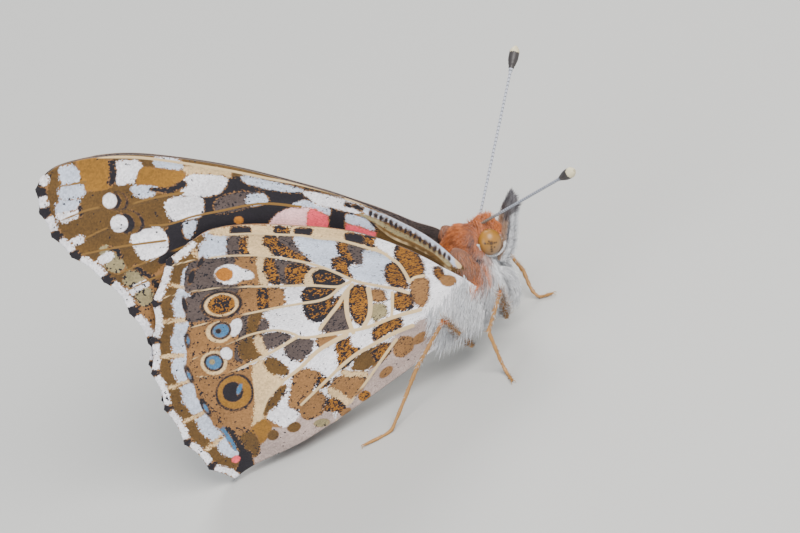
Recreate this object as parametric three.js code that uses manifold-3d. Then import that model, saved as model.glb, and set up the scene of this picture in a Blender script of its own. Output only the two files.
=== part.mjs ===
// Painted lady butterfly at rest, wings closed over its back, standing on its four walking legs.
// Millimetres. +X is ahead, +Y is the animal's left, +Z is up, and the feet stand on Z = 0.
// Places are worked out from the wing hinge: x ahead of it, y left of the middle, z above it.

import * as THREE from 'three';
import { mergeVertices } from 'three/addons/utils/BufferGeometryUtils.js';
import Module from 'manifold-3d';

const wasm = await Module();
wasm.setup();

// Driving dimensions

const HINGE_AHEAD = 6.32; // of the middle of the whole outline
const HINGE_HEIGHT = 7.6; // above the floor
const WING_THICKNESS = 0.5;
const WING_GRID = { along: 20, across: 12 };

const THORAX_SIDES = 22;
const ABDOMEN_SIDES = 18;
const HEAD = { x: 2.5, z: -0.12, length: 2.0, width: 2.6, height: 2.7 };
const EYE = { x: 2.3, y: 1.14, z: 0.02, length: 1.62, width: 1.46, height: 1.9, lean: 0.3 };
const EYE_GAP = 0.15;
const PALP_RADIUS = 0.29;
const PROBOSCIS = { x: 3.05, z: -2.0, radius: 0.55, thickness: 0.5, wire: 0.14 };
const ANTENNA = { base: [2.62, 0.62, 1.32], shaft: 0.26, club: 0.46, clubLength: 1.9 };
const ANTENNA_TIP = { left: [10.35, 8.8, 7.15], right: [9.7, -9.25, 6.4] };
const LEG_RADIUS = { femur: 0.42, tibia: 0.29, tarsus: 0.26 };
const FORELEG_RADIUS = 0.32;

// Colours, roughness and metalness of the outer surfaces

const FINISH = {
  wing: { color: 0xb98d4e, roughness: 0.85 },
  fur: { color: 0xb9b3ab, roughness: 0.95 },
  headFur: { color: 0xb4713f, roughness: 0.9 },
  eye: { color: 0xa8741f, roughness: 0.25 },
  horn: { color: 0xb9b0a0, roughness: 0.6 },
  leg: { color: 0xb8823f, roughness: 0.55 },
};

function finish(name) {
  return new THREE.MeshStandardMaterial({ ...FINISH[name], metalness: 0 });
}

// Closed skin over a row of rings with the same number of points, with a point in the middle of each end

function skin(rings) {
  const sides = rings[0].length;
  const middle = (ring) => ring.reduce((sum, p) => sum.add(p), new THREE.Vector3()).divideScalar(sides);
  const points = [...rings.flat(), middle(rings[0]), middle(rings.at(-1))];
  const first = rings.length * sides;
  const faces = [];
  for (let r = 0; r + 1 < rings.length; r += 1) {
    for (let s = 0; s < sides; s += 1) {
      const a = r * sides + s;
      const b = r * sides + ((s + 1) % sides);
      faces.push(a, b, b + sides, a, b + sides, a + sides);
    }
  }
  for (let s = 0; s < sides; s += 1) {
    const next = (s + 1) % sides;
    const last = (rings.length - 1) * sides;
    faces.push(first, next, s, first + 1, last + s, last + next);
  }
  const geometry = new THREE.BufferGeometry();
  geometry.setAttribute('position', new THREE.Float32BufferAttribute(points.flatMap((p) => p.toArray()), 3));
  geometry.setIndex(faces);
  geometry.computeVertexNormals();
  return geometry;
}

// Limb of round sections along a smooth line through the given points, with rounded ends.
// radiusAt gives the radius at 0 to 1 along it.

function limb(points, radiusAt, steps, sides = 8) {
  const line = new THREE.CatmullRomCurve3(points.map((p) => new THREE.Vector3(...p)), false, 'centripetal');
  const up = new THREE.Vector3(0, 1, 0);
  const stops = [0, 0.02];
  for (let i = 1; i < steps; i += 1) stops.push(0.02 + (0.96 * i) / steps);
  stops.push(0.98, 1);
  const rings = stops.map((t) => {
    const centre = line.getPointAt(t);
    const ahead = line.getTangentAt(t);
    const across = new THREE.Vector3().crossVectors(ahead, up).normalize();
    const side = new THREE.Vector3().crossVectors(ahead, across).normalize();
    const radius = radiusAt(t) * (t === 0 || t === 1 ? 0.55 : 1);
    return ring(centre, across, side, radius, radius, sides);
  });
  return skin(rings);
}

function ring(centre, across, side, radiusAcross, radiusSide, sides) {
  return Array.from({ length: sides }, (_, k) => {
    const angle = (2 * Math.PI * (k + 0.5)) / sides;
    return centre.clone()
      .addScaledVector(across, radiusAcross * Math.cos(angle))
      .addScaledVector(side, radiusSide * Math.sin(angle));
  });
}

// Trunk of oval sections. Each station gives the section's top x and z, its bottom x and z, and its half width.

function trunk(stations, sides) {
  const left = new THREE.Vector3(0, 1, 0);
  const rings = stations.map(([topX, topZ, bottomX, bottomZ, halfWidth]) => {
    const top = new THREE.Vector3(topX, 0, topZ);
    const bottom = new THREE.Vector3(bottomX, 0, bottomZ);
    const centre = top.clone().add(bottom).divideScalar(2);
    const halfHeight = top.distanceTo(bottom) / 2;
    return ring(centre, left, top.sub(bottom).normalize(), halfWidth, halfHeight, sides);
  });
  return skin(rings);
}

function ellipsoid({ x, y = 0, z, length, width, height, lean = 0 }, columns, rows, grow = 0) {
  const geometry = new THREE.SphereGeometry(0.5, columns, rows);
  geometry.scale(length + 2 * grow, width + 2 * grow, height + 2 * grow);
  geometry.rotateY(lean);
  geometry.translate(x, y, z);
  return geometry;
}

// Booleans

function solid(geometry) {
  const bare = geometry.clone();
  bare.deleteAttribute('normal');
  bare.deleteAttribute('uv');
  const merged = mergeVertices(bare, 1e-4);
  const vertProperties = new Float32Array(merged.attributes.position.array);
  const triVerts = new Uint32Array(merged.index.array);
  return new wasm.Manifold(new wasm.Mesh({ numProp: 3, vertProperties, triVerts }));
}

function geometryOf(manifold) {
  const mesh = manifold.getMesh();
  const geometry = new THREE.BufferGeometry();
  geometry.setAttribute('position', new THREE.BufferAttribute(mesh.vertProperties, 3));
  geometry.setIndex(new THREE.BufferAttribute(mesh.triVerts, 1));
  geometry.computeVertexNormals();
  return geometry;
}

// Wings. Each outline is three smooth lines of [back, up] points from the hinge: the front edge from root to
// tip, the outer edge from tip to hind corner, and the hind edge from root to hind corner.

const FOREWING = {
  front: [[0.1, 0.55], [0.75, 2.2], [2.1, 4.45], [4.1, 7.35], [7.0, 10.8], [11.0, 15.05], [16.3, 19.2],
    [20.2, 20.6], [21.6, 20.4]],
  outer: [[21.6, 20.4], [22.5, 19.2], [23.0, 17.0], [22.9, 15.1], [22.0, 12.6], [21.4, 10.4], [21.3, 7.6],
    [21.3, 4.6], [20.9, 2.6]],
  hind: [[0.75, -0.5], [4.0, 0.4], [9.0, 0.9], [15.0, 1.5], [19.6, 1.85], [20.9, 2.6]],
};
const HINDWING = {
  front: [[0.6, -0.35], [1.3, 1.0], [2.8, 3.15], [5.0, 5.7], [8.3, 8.3], [11.4, 10.4], [13.6, 11.35],
    [15.4, 11.35]],
  outer: [[15.4, 11.35], [17.3, 10.7], [19.3, 8.9], [20.6, 6.7], [22.0, 4.4], [22.8, 1.2], [23.15, -1.8],
    [22.5, -4.7], [21.5, -6.8]],
  hind: [[0.9, -1.6], [2.3, -2.5], [3.7, -4.1], [6.0, -4.9], [9.0, -5.4], [13.5, -5.95], [18.0, -6.35],
    [20.6, -6.6], [21.5, -6.8]],
};

// Fading from 1 to 0 as the distance grows from near to far
function fade(distance, near, far) {
  return 1 - THREE.MathUtils.smoothstep(distance, near, far);
}

// Distance of a wing's middle sheet from the middle plane: the forewings close together over the back
function forewingSide(back, up) {
  const reach = Math.hypot(back, up);
  return 0.4 + 0.95 * fade(reach, 1.5, 11) + 0.9 * fade(reach, 0, 4.5);
}

// The hindwings lie outside the forewings, and stand off round the trunk and abdomen
const BODY_LINE = new THREE.Line3(new THREE.Vector3(-1, 0, -1.6), new THREE.Vector3(14.4, 0, -4.9));

function hindwingSide(back, up) {
  const place = new THREE.Vector3(back, 0, up);
  const nearest = BODY_LINE.closestPointToPoint(place, true, new THREE.Vector3());
  const round = 1.2 + 1.05 * fade(place.distanceTo(nearest), 1.2, 6.5);
  const shoulder = 0.75 * fade(Math.hypot(back - 1, up + 2.2), 2.0, 6.0);
  return Math.max(round + shoulder, forewingSide(back, up) + WING_THICKNESS + 0.3);
}

function smoothLine(points) {
  return new THREE.CatmullRomCurve3(points.map(([x, z]) => new THREE.Vector3(x, 0, z)), false, 'centripetal');
}

// A wing sheet: a patch stretched between its four edges, given a thickness on the side function
function wing(outline, sideAt, hand) {
  const front = smoothLine(outline.front);
  const outer = smoothLine(outline.outer);
  const hind = smoothLine(outline.hind);
  const root = new THREE.LineCurve3(front.getPoint(0), hind.getPoint(0));
  const corners = [front.getPoint(0), hind.getPoint(0), front.getPoint(1), hind.getPoint(1)];
  const { along, across } = WING_GRID;
  const sheet = (offset) => {
    const points = [];
    for (let i = 0; i <= along; i += 1) {
      for (let j = 0; j <= across; j += 1) {
        const u = i / along;
        const v = j / across;
        const p = front.getPointAt(u).multiplyScalar(1 - v)
          .addScaledVector(hind.getPointAt(u), v)
          .addScaledVector(root.getPointAt(v), 1 - u)
          .addScaledVector(outer.getPointAt(v), u)
          .addScaledVector(corners[0], -(1 - u) * (1 - v))
          .addScaledVector(corners[1], -(1 - u) * v)
          .addScaledVector(corners[2], -u * (1 - v))
          .addScaledVector(corners[3], -u * v);
        points.push(-p.x, hand * (sideAt(p.x, p.z) + offset), p.z);
      }
    }
    return points;
  };
  const row = across + 1;
  const count = (along + 1) * row;
  const faces = [];
  const quad = (a, b, c, d) => (hand > 0 ? faces.push(a, b, c, a, c, d) : faces.push(a, c, b, a, d, c));
  for (let i = 0; i < along; i += 1) {
    for (let j = 0; j < across; j += 1) {
      const a = i * row + j;
      quad(a, a + row, a + row + 1, a + 1);
      quad(count + a, count + a + 1, count + a + row + 1, count + a + row);
    }
  }
  const rim = [];
  for (let i = 0; i < along; i += 1) rim.push(i * row);
  for (let j = 0; j < across; j += 1) rim.push(along * row + j);
  for (let i = along; i > 0; i -= 1) rim.push(i * row + across);
  for (let j = across; j > 0; j -= 1) rim.push(j);
  rim.forEach((a, k) => {
    const b = rim[(k + 1) % rim.length];
    quad(a, count + a, count + b, b);
  });
  const geometry = new THREE.BufferGeometry();
  const points = [...sheet(-WING_THICKNESS / 2), ...sheet(WING_THICKNESS / 2)];
  geometry.setAttribute('position', new THREE.Float32BufferAttribute(points, 3));
  geometry.setIndex(faces);
  geometry.computeVertexNormals();
  return geometry;
}

// Trunk and abdomen

const THORAX = [
  [-3.35, -2.6, -3.4, -4.3, 0.8], [-3.05, -1.8, -3.15, -5.05, 1.35], [-2.2, -0.75, -2.35, -5.75, 1.85],
  [-1.15, 0.15, -1.1, -6.0, 2.15], [-0.15, 0.7, 0.0, -5.75, 2.25], [0.75, 0.8, 1.0, -5.15, 2.05],
  [1.2, 0.45, 1.6, -4.15, 1.55], [1.35, -0.35, 1.8, -3.0, 0.85],
];
const ABDOMEN = [
  [-14.85, -4.9, -14.85, -5.35, 0.25], [-14.4, -4.5, -14.4, -5.7, 0.6], [-13.4, -3.95, -13.4, -6.05, 1.0],
  [-12.0, -3.4, -12.0, -6.25, 1.35], [-10.2, -2.95, -10.2, -6.3, 1.6], [-8.4, -2.6, -8.4, -6.2, 1.72],
  [-6.6, -2.35, -6.6, -5.95, 1.72], [-5.0, -2.3, -5.0, -5.6, 1.55], [-4.0, -2.55, -4.0, -5.15, 1.2],
  [-3.7, -2.95, -3.7, -4.6, 0.75],
];

// Limbs: the walking legs bend at the knee and the heel, and their soles lie on the floor

const FLOOR = -HINGE_HEIGHT;
const SOLE_WEAR = 0.06;
const SOLE = FLOOR + LEG_RADIUS.tarsus * Math.cos(Math.PI / 8);

const LEGS = {
  mid_right: {
    hip: [0.75, -1.6, -5.55], knee: [1.36, -4.2, -2.0], heel: [-0.72, -4.35, -4.3],
    ankle: [-1.0, -4.75, -6.9], sole: [-1.0, -5.2, SOLE], toe: [-0.9, -6.3, SOLE],
  },
  mid_left: {
    hip: [0.95, 1.6, -5.45], knee: [2.6, 4.6, -2.9], heel: [3.2, 3.3, -5.9],
    ankle: [3.1, 2.1, -6.95], sole: [3.3, 1.7, SOLE], toe: [4.2, 1.2, SOLE],
  },
  hind_right: {
    hip: [-2.3, -1.7, -6.2], knee: [-2.95, -4.95, -1.4], heel: [-6.25, -4.45, -4.05],
    ankle: [-9.35, -4.45, -6.95], sole: [-10.0, -4.5, SOLE], toe: [-12.0, -4.5, SOLE],
  },
  hind_left: {
    hip: [-2.3, 1.7, -6.2], knee: [-2.95, 4.95, -1.4], heel: [-6.25, 4.45, -4.05],
    ankle: [-9.35, 4.45, -6.95], sole: [-10.0, 4.5, SOLE], toe: [-12.0, 4.5, SOLE],
  },
};

// Gaps along a limb at its joints, so that neighbouring lengths stay apart
const FEMUR_END = 0.35;
const KNEE_GAP = 0.9;
const HEEL_GAP = 0.6;
const CLUB_GAP = 0.3;

function pulledIn(from, to, start, end) {
  const a = new THREE.Vector3(...from);
  const b = new THREE.Vector3(...to);
  const ahead = b.clone().sub(a).normalize();
  return [a.addScaledVector(ahead, start).toArray(), b.addScaledVector(ahead, -end).toArray()];
}

const group = new THREE.Group();
group.position.set(HINGE_AHEAD, 0, HINGE_HEIGHT);

function place(name, geometry, finishName) {
  const mesh = new THREE.Mesh(geometry, finish(finishName));
  mesh.name = name;
  group.add(mesh);
}

const SIDES = [['left', 1], ['right', -1]];

for (const [side, hand] of SIDES) {
  place(`forewing_${side}`, wing(FOREWING, forewingSide, hand), 'wing');
  place(`hindwing_${side}`, wing(HINDWING, hindwingSide, hand), 'wing');
}

place('thorax', trunk(THORAX, THORAX_SIDES), 'fur');
place('abdomen', trunk(ABDOMEN, ABDOMEN_SIDES), 'fur');

// The head has a socket on each side for the eye

function eyeOf(hand, grow = 0) {
  return ellipsoid({ ...EYE, y: hand * EYE.y }, 16, 10, grow);
}

let head = solid(ellipsoid(HEAD, 18, 12));
for (const [, hand] of SIDES) head = head.subtract(solid(eyeOf(hand, EYE_GAP)));
place('head', geometryOf(head), 'headFur');

// Palp: a feeler beside the mouth, curving up before the face to a narrow tip
const PALP_LINE = [[2.75, 0.72, -1.9], [3.65, 0.72, -1.15], [4.35, 0.66, 0.0], [4.95, 0.58, 0.95], [5.42, 0.5, 1.66]];

function palpRadius(t) {
  return PALP_RADIUS * (1.15 - 0.35 * t);
}

for (const [side, hand] of SIDES) {
  place(`eye_${side}`, eyeOf(hand), 'eye');
  const line = PALP_LINE.map(([x, y, z]) => [x, hand * y, z]);
  place(`palp_${side}`, limb(line, palpRadius, 7), 'headFur');
}

// The tongue is coiled like a watch spring between the palps
const coil = new THREE.LatheGeometry([
  new THREE.Vector2(0, -PROBOSCIS.thickness / 2),
  new THREE.Vector2(PROBOSCIS.radius - PROBOSCIS.wire, -PROBOSCIS.thickness / 2),
  new THREE.Vector2(PROBOSCIS.radius, -PROBOSCIS.thickness / 2 + PROBOSCIS.wire),
  new THREE.Vector2(PROBOSCIS.radius, PROBOSCIS.thickness / 2 - PROBOSCIS.wire),
  new THREE.Vector2(PROBOSCIS.radius - PROBOSCIS.wire, PROBOSCIS.thickness / 2),
  new THREE.Vector2(0, PROBOSCIS.thickness / 2),
], 16);
coil.translate(PROBOSCIS.x, 0, PROBOSCIS.z);
place('proboscis', coil, 'leg');

// Each antenna is a long slender shaft and a club at its end

function clubRadius(t) {
  return ANTENNA.club * Math.sin(Math.PI * (0.24 + 0.62 * t)) ** 0.7;
}

for (const [side, hand] of SIDES) {
  const base = [ANTENNA.base[0], hand * ANTENNA.base[1], ANTENNA.base[2]];
  const tip = ANTENNA_TIP[side];
  const length = new THREE.Vector3(...base).distanceTo(new THREE.Vector3(...tip));
  const shaft = pulledIn(base, tip, 0, ANTENNA.clubLength + CLUB_GAP / 2);
  const club = pulledIn(base, tip, length - ANTENNA.clubLength + CLUB_GAP / 2, 0);
  place(`antenna_${side}`, limb(shaft, () => ANTENNA.shaft, 6), 'horn');
  place(`antenna_club_${side}`, limb(club, clubRadius, 5), 'horn');
}

// Walking legs in three lengths each. A foot is worn flat where it rests on the floor.

function flatSoled(geometry) {
  const { position } = geometry.attributes;
  for (let i = 0; i < position.count; i += 1) {
    if (position.getZ(i) < FLOOR + SOLE_WEAR) position.setZ(i, FLOOR);
  }
  return geometry;
}

const femurRadius = (t) => LEG_RADIUS.femur * (1 - 0.3 * t);
const tibiaRadius = (t) => LEG_RADIUS.tibia * (1 - 0.1 * t);
const tarsusRadius = () => LEG_RADIUS.tarsus;

for (const [name, leg] of Object.entries(LEGS)) {
  place(`${name}_femur`, limb(pulledIn(leg.hip, leg.knee, 0, FEMUR_END), femurRadius, 4), 'leg');
  place(`${name}_tibia`, limb(pulledIn(leg.knee, leg.heel, KNEE_GAP, 0), tibiaRadius, 4), 'leg');
  const [heel] = pulledIn(leg.heel, leg.ankle, HEEL_GAP, 0);
  const tarsus = limb([heel, leg.ankle, leg.sole, leg.toe], tarsusRadius, 9);
  place(`${name}_tarsus`, flatSoled(tarsus), 'leg');
}

// The first pair of legs is short and brush-like, and stays folded against the breast
const FORELEG_LINE = [[2.35, 0.95, -2.35], [2.75, 0.95, -3.3], [2.6, 0.95, -4.3], [2.2, 0.9, -5.0]];

for (const [side, hand] of SIDES) {
  const line = FORELEG_LINE.map(([x, y, z]) => [x, hand * y, z]);
  place(`foreleg_${side}`, limb(line, (t) => FORELEG_RADIUS * (1.1 - 0.4 * t), 6), 'fur');
}

export default group;
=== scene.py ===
# Painted lady butterfly at rest, wings closed over its back, standing on a plain floor. Sizes are in
# millimetres from the wing hinge (x ahead, y left, z up) until metres() turns them into the frame's.

import math

import bpy
import numpy as np
from mathutils import Matrix, Vector


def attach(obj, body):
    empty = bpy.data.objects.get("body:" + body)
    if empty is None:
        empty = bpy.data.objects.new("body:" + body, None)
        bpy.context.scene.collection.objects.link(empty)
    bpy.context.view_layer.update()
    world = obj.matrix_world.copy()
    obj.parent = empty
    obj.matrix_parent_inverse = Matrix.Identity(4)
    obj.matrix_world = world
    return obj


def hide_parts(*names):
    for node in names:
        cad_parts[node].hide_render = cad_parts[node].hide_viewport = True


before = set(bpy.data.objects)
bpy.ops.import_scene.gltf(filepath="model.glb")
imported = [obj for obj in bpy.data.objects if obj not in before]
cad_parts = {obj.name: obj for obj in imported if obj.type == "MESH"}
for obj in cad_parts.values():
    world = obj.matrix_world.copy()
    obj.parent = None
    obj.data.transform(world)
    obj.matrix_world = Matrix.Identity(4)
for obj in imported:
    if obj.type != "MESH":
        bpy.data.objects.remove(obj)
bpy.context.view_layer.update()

MM = 0.001
HINGE = np.array([6.32, 0.0, 7.6])


def metres(points):
    return (np.asarray(points, float) + HINGE) * MM


# The floor: a smooth, matt, off-white sheet of card, much wider than the butterfly. It belongs to the
# picture and isn't a piece of the model.

FLOOR_SIDE = 2.0
FLOOR_COLOUR = (0.50, 0.50, 0.485, 1)

bpy.ops.mesh.primitive_plane_add(size=FLOOR_SIDE, location=(0, 0, 0))
floor = bpy.context.object
floor.name = "floor"
floor_material = bpy.data.materials.new("floor")
floor_material.use_nodes = True
floor_shader = floor_material.node_tree.nodes["Principled BSDF"]
floor_shader.inputs["Base Color"].default_value = FLOOR_COLOUR
floor_shader.inputs["Roughness"].default_value = 0.85
floor_shader.inputs["Specular IOR Level"].default_value = 0.2
floor.data.materials.append(floor_material)

# The light of a bright, overcast day: a big soft source over the camera's shoulder, a weak one from the
# tail's side, another from beyond the insect, and the sky.

SKY_COLOUR = (0.80, 0.86, 0.95, 1)
SKY_STRENGTH = 0.55


def soft_light(name, place, size, power, colour):
    data = bpy.data.lights.new(name, "AREA")
    data.size = size
    data.energy = power
    data.color = colour
    lamp = bpy.data.objects.new(name, data)
    lamp.location = place
    lamp.rotation_mode = "QUATERNION"
    lamp.rotation_quaternion = (Vector((0, 0, 0.01)) - Vector(place)).to_track_quat("-Z", "Y")
    bpy.context.scene.collection.objects.link(lamp)


soft_light("key", (0.16, -0.26, 0.34), 0.26, 3.9, (1.0, 0.97, 0.93))
soft_light("fill", (-0.34, -0.14, 0.16), 0.24, 0.8, (0.90, 0.95, 1.0))
soft_light("rim", (0.10, 0.34, 0.30), 0.20, 1.6, (1.0, 0.98, 0.94))

world = bpy.data.worlds.new("sky")
world.use_nodes = True
world.node_tree.nodes["Background"].inputs["Color"].default_value = SKY_COLOUR
world.node_tree.nodes["Background"].inputs["Strength"].default_value = SKY_STRENGTH
bpy.context.scene.world = world

# The camera looks a little down on the right side of the insect, and is rolled, because the stem it sat on
# sloped.

AZIMUTH = math.radians(2.5)
ELEVATION = math.radians(30.0)
ROLL = math.radians(30.0)
DISTANCE = 240.0  # mm from the hinge
FOCAL_PIXELS = 14.5 * DISTANCE  # 14.5 pixels to the millimetre at the hinge
AIM_HEIGHT = 7.3  # mm above the floor
PICTURE_WIDTH = 800
HINGE_PIXEL = (459.0, 254.0)
PICTURE_MIDDLE = (400.0, 266.5)
SENSOR_WIDTH = 36.0

back = Vector((math.sin(AZIMUTH) * math.cos(ELEVATION),
               -math.cos(AZIMUTH) * math.cos(ELEVATION),
               math.sin(ELEVATION)))
level_right = Vector((math.cos(AZIMUTH), math.sin(AZIMUTH), 0))
level_up = back.cross(level_right)
right = math.cos(ROLL) * level_right - math.sin(ROLL) * level_up
up = math.cos(ROLL) * level_up + math.sin(ROLL) * level_right
target = Vector((HINGE[0], 0, AIM_HEIGHT))
across = (PICTURE_MIDDLE[0] - HINGE_PIXEL[0]) / FOCAL_PIXELS
down = (PICTURE_MIDDLE[1] - HINGE_PIXEL[1]) / FOCAL_PIXELS
sight = (across * right - down * up - back).normalized()
camera_right = (right - right.dot(sight) * sight).normalized()
camera_up = camera_right.cross(sight)
camera_data = bpy.data.cameras.new("camera")
camera_data.sensor_width = SENSOR_WIDTH
camera_data.lens = FOCAL_PIXELS * SENSOR_WIDTH / PICTURE_WIDTH
camera_data.clip_start = 0.01
camera_data.clip_end = 5
camera = bpy.data.objects.new("camera", camera_data)
turn = Matrix((camera_right, camera_up, -sight)).transposed().to_4x4()
camera.matrix_world = Matrix.Translation((target + DISTANCE * back) * MM) @ turn
bpy.context.scene.collection.objects.link(camera)
bpy.context.scene.camera = camera

# Wings: four sheets of clear membrane stiffened by veins, and covered on both faces with rows of flat
# coloured scales. Each is laid out here as a patch between its front edge, outer edge, hind edge and root.
# Points are [back, up] from the hinge.

SIDES = {"left": 1, "right": -1}
MEMBRANE = 0.16  # mm thick with its scales
OUT_OF_MIDDLE = 0.1  # from the middle of the solid sheet that the wing stands for
# A wing that is set further in is set lower by this slope, and so keeps its place in the picture
SIGHT_SLOPE = math.tan(ELEVATION)

FOREWING = {
    "front": [(-0.1, -0.8), (0.25, 0.7), (0.85, 2.3), (2.1, 4.45), (4.1, 7.35), (7.0, 10.8), (11.0, 15.05),
              (16.3, 19.2), (20.2, 20.6), (21.6, 20.4)],
    "outer": [(21.6, 20.4), (22.45, 19.2), (22.9, 17.0), (22.8, 15.1), (22.0, 12.6), (21.4, 10.4),
              (21.3, 7.6), (21.3, 4.6), (20.9, 2.6)],
    "hind": [(0.5, -1.2), (4.0, 0.4), (9.0, 0.9), (15.0, 1.5), (19.6, 1.85), (20.9, 2.6)],
}
HINDWING = {
    "front": [(-0.1, -1.6), (0.5, -0.3), (1.3, 1.0), (2.8, 3.15), (5.0, 5.7), (8.3, 8.3), (11.4, 10.4),
              (13.6, 11.35), (15.4, 11.35)],
    "outer": [(15.4, 11.35), (17.3, 10.7), (19.3, 8.9), (20.6, 6.7), (22.0, 4.4), (22.75, 1.2), (22.95, -1.8),
              (22.5, -4.7), (21.5, -6.8)],
    "hind": [(0.3, -2.4), (2.3, -2.9), (3.7, -4.1), (6.0, -4.9), (9.0, -5.4), (13.5, -5.95), (18.0, -6.35),
             (20.6, -6.6), (21.5, -6.8)],
}
# Where the veins end on the outer edge: the edge is scalloped between them and its fringe is black at them
FOREWING_VEIN_ENDS = [(22.0, 19.7), (22.7, 18.1), (22.9, 16.2), (22.5, 14.2), (21.5, 11.4), (21.3, 8.3),
                      (21.3, 5.6)]
HINDWING_VEIN_ENDS = [(17.2, 10.8), (19.6, 8.5), (20.9, 6.0), (22.2, 3.7), (22.9, 0.8), (23.0, -2.4),
                      (22.3, -5.0)]
FOREWING_SCALLOP, HINDWING_SCALLOP = 0.22, 0.32  # mm deep
HALF_SCALLOP = 1.4  # how far past the first and last vein end the next one would be, mm
WING_MIDDLE = (8.0, 4.0)
FAR = 99.0  # mm, further than any place on a wing
GRID_ALONG = 216
GRID_ACROSS = 150


def fade(distance, near, far):
    t = np.clip((distance - near) / (far - near), 0, 1)
    return 1 - t * t * (3 - 2 * t)


def forewing_side(b, u):
    reach = np.hypot(b, u)
    return 0.4 + 0.95 * fade(reach, 1.5, 11) + 0.9 * fade(reach, 0, 4.5)


def forewing_rest(b, u):
    """Where the membrane lies: pressed to its partner behind, and standing off over the shoulders."""
    reach = np.hypot(b, u)
    return 0.13 + 0.57 * fade(reach, 3, 9.5) + 1.5 * fade(reach, 0, 4.5)


def hindwing_side(b, u):
    line_start, line_end = np.array([-1, -1.6]), np.array([14.4, -4.9])
    away = to_segment(b, u, line_start, line_end)[0]
    stood_off = 1.2 + 1.05 * fade(away, 1.2, 6.5) + 0.75 * fade(np.hypot(b - 1, u + 2.2), 2, 6)
    return np.maximum(stood_off, forewing_side(b, u) + 0.8)


def hindwing_rest(b, u):
    reach = np.hypot(b, u)
    return hindwing_side(b, u) + OUT_OF_MIDDLE - 0.62 * (1 - fade(reach, 8, 16)) - 0.7 * fade(reach, 1, 5)


def to_segment(b, u, start, end):
    """Distance to the segment from start to end, and how far along it the nearest point lies, 0 to 1."""
    along = np.subtract(end, start)
    t = np.clip(((b - start[0]) * along[0] + (u - start[1]) * along[1]) / max(along @ along, 1e-9), 0, 1)
    return np.hypot(b - start[0] - t * along[0], u - start[1] - t * along[1]), t


def smooth_line(points, steps):
    """Centripetal curve through points, in even steps along its length."""
    p = np.array(points, float)
    p = np.vstack([2 * p[0] - p[1], p, 2 * p[-1] - p[-2]])
    fine = []
    for i in range(1, len(p) - 2):
        p0, p1, p2, p3 = p[i - 1:i + 3]
        d0, d1, d2 = (max(np.linalg.norm(q) ** 0.5, 1e-4) for q in (p1 - p0, p2 - p1, p3 - p2))
        t1 = ((p1 - p0) / d0 - (p2 - p0) / (d0 + d1) + (p2 - p1) / d1) * d1
        t2 = ((p2 - p1) / d1 - (p3 - p1) / (d1 + d2) + (p3 - p2) / d2) * d1
        t = np.linspace(0, 1, 41)[:, None]
        fine.append(p1 + t1 * t + (3 * (p2 - p1) - 2 * t1 - t2) * t ** 2 + (2 * (p1 - p2) + t1 + t2) * t ** 3)
    fine = np.vstack(fine)
    length = np.r_[0, np.cumsum(np.linalg.norm(np.diff(fine, axis=0), axis=1))]
    stops = np.linspace(0, length[-1], steps + 1)
    return np.stack([np.interp(stops, length, fine[:, k]) for k in range(fine.shape[1])], axis=1)


def scalloped(edge, vein_ends, depth):
    """The outer edge, cut in between the vein ends, and how near each point is to a vein end and to the
    middle between two of them, in mm along the edge."""
    length = np.r_[0, np.cumsum(np.linalg.norm(np.diff(edge, axis=0), axis=1))]
    ends = [length[np.argmin(np.hypot(*(edge - np.array(p)).T))] for p in vein_ends]
    stops = np.array([-HALF_SCALLOP, *ends, length[-1] + HALF_SCALLOP])
    gap = np.clip(np.searchsorted(stops, length) - 1, 0, len(stops) - 2)
    share = (length - stops[gap]) / (stops[gap + 1] - stops[gap])
    ahead = np.gradient(edge, axis=0)
    inward = np.stack([-ahead[:, 1], ahead[:, 0]], axis=1) / np.linalg.norm(ahead, axis=1)[:, None]
    if (inward.mean(0) @ (np.array(WING_MIDDLE) - edge.mean(0))) < 0:
        inward = -inward
    cut = depth * np.sin(np.pi * share) ** 0.8
    near_end = np.minimum(length - stops[gap], stops[gap + 1] - length)
    near_middle = (stops[gap + 1] - stops[gap]) / 2 - near_end
    return edge + inward * cut[:, None], near_end, near_middle


def wing_sheet(outline, vein_ends, depth):
    """A grid of [back, up] places over the wing, and for each its distance from the outer edge, and along
    that edge from the nearest vein end and from the middle between two."""
    front = smooth_line(outline["front"], GRID_ALONG)[:, None]
    hind = smooth_line(outline["hind"], GRID_ALONG)[:, None]
    outer, *nearness = scalloped(smooth_line(outline["outer"], GRID_ACROSS), vein_ends, depth)
    root = np.linspace(front[0, 0], hind[0, 0], GRID_ACROSS + 1)
    u = np.linspace(0, 1, GRID_ALONG + 1)[:, None, None]
    v = np.linspace(0, 1, GRID_ACROSS + 1)[None, :, None]
    places = (1 - v) * front + v * hind + (1 - u) * root[None] + u * outer[None]
    places -= (1 - u) * (1 - v) * root[0] + (1 - u) * v * root[-1]
    places -= u * (1 - v) * outer[0] + u * v * outer[-1]
    flat = places.reshape(-1, 2)
    rim = np.full(len(flat), FAR)
    marks = np.zeros((2, len(flat)))
    for k in range(GRID_ACROSS):
        away, t = to_segment(flat[:, 0], flat[:, 1], outer[k], outer[k + 1])
        closer = away < rim
        rim[closer] = away[closer]
        for row, near in enumerate(nearness):
            marks[row, closer] = (near[k] + (near[k + 1] - near[k]) * t)[closer]
    return flat, rim, *marks


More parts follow.
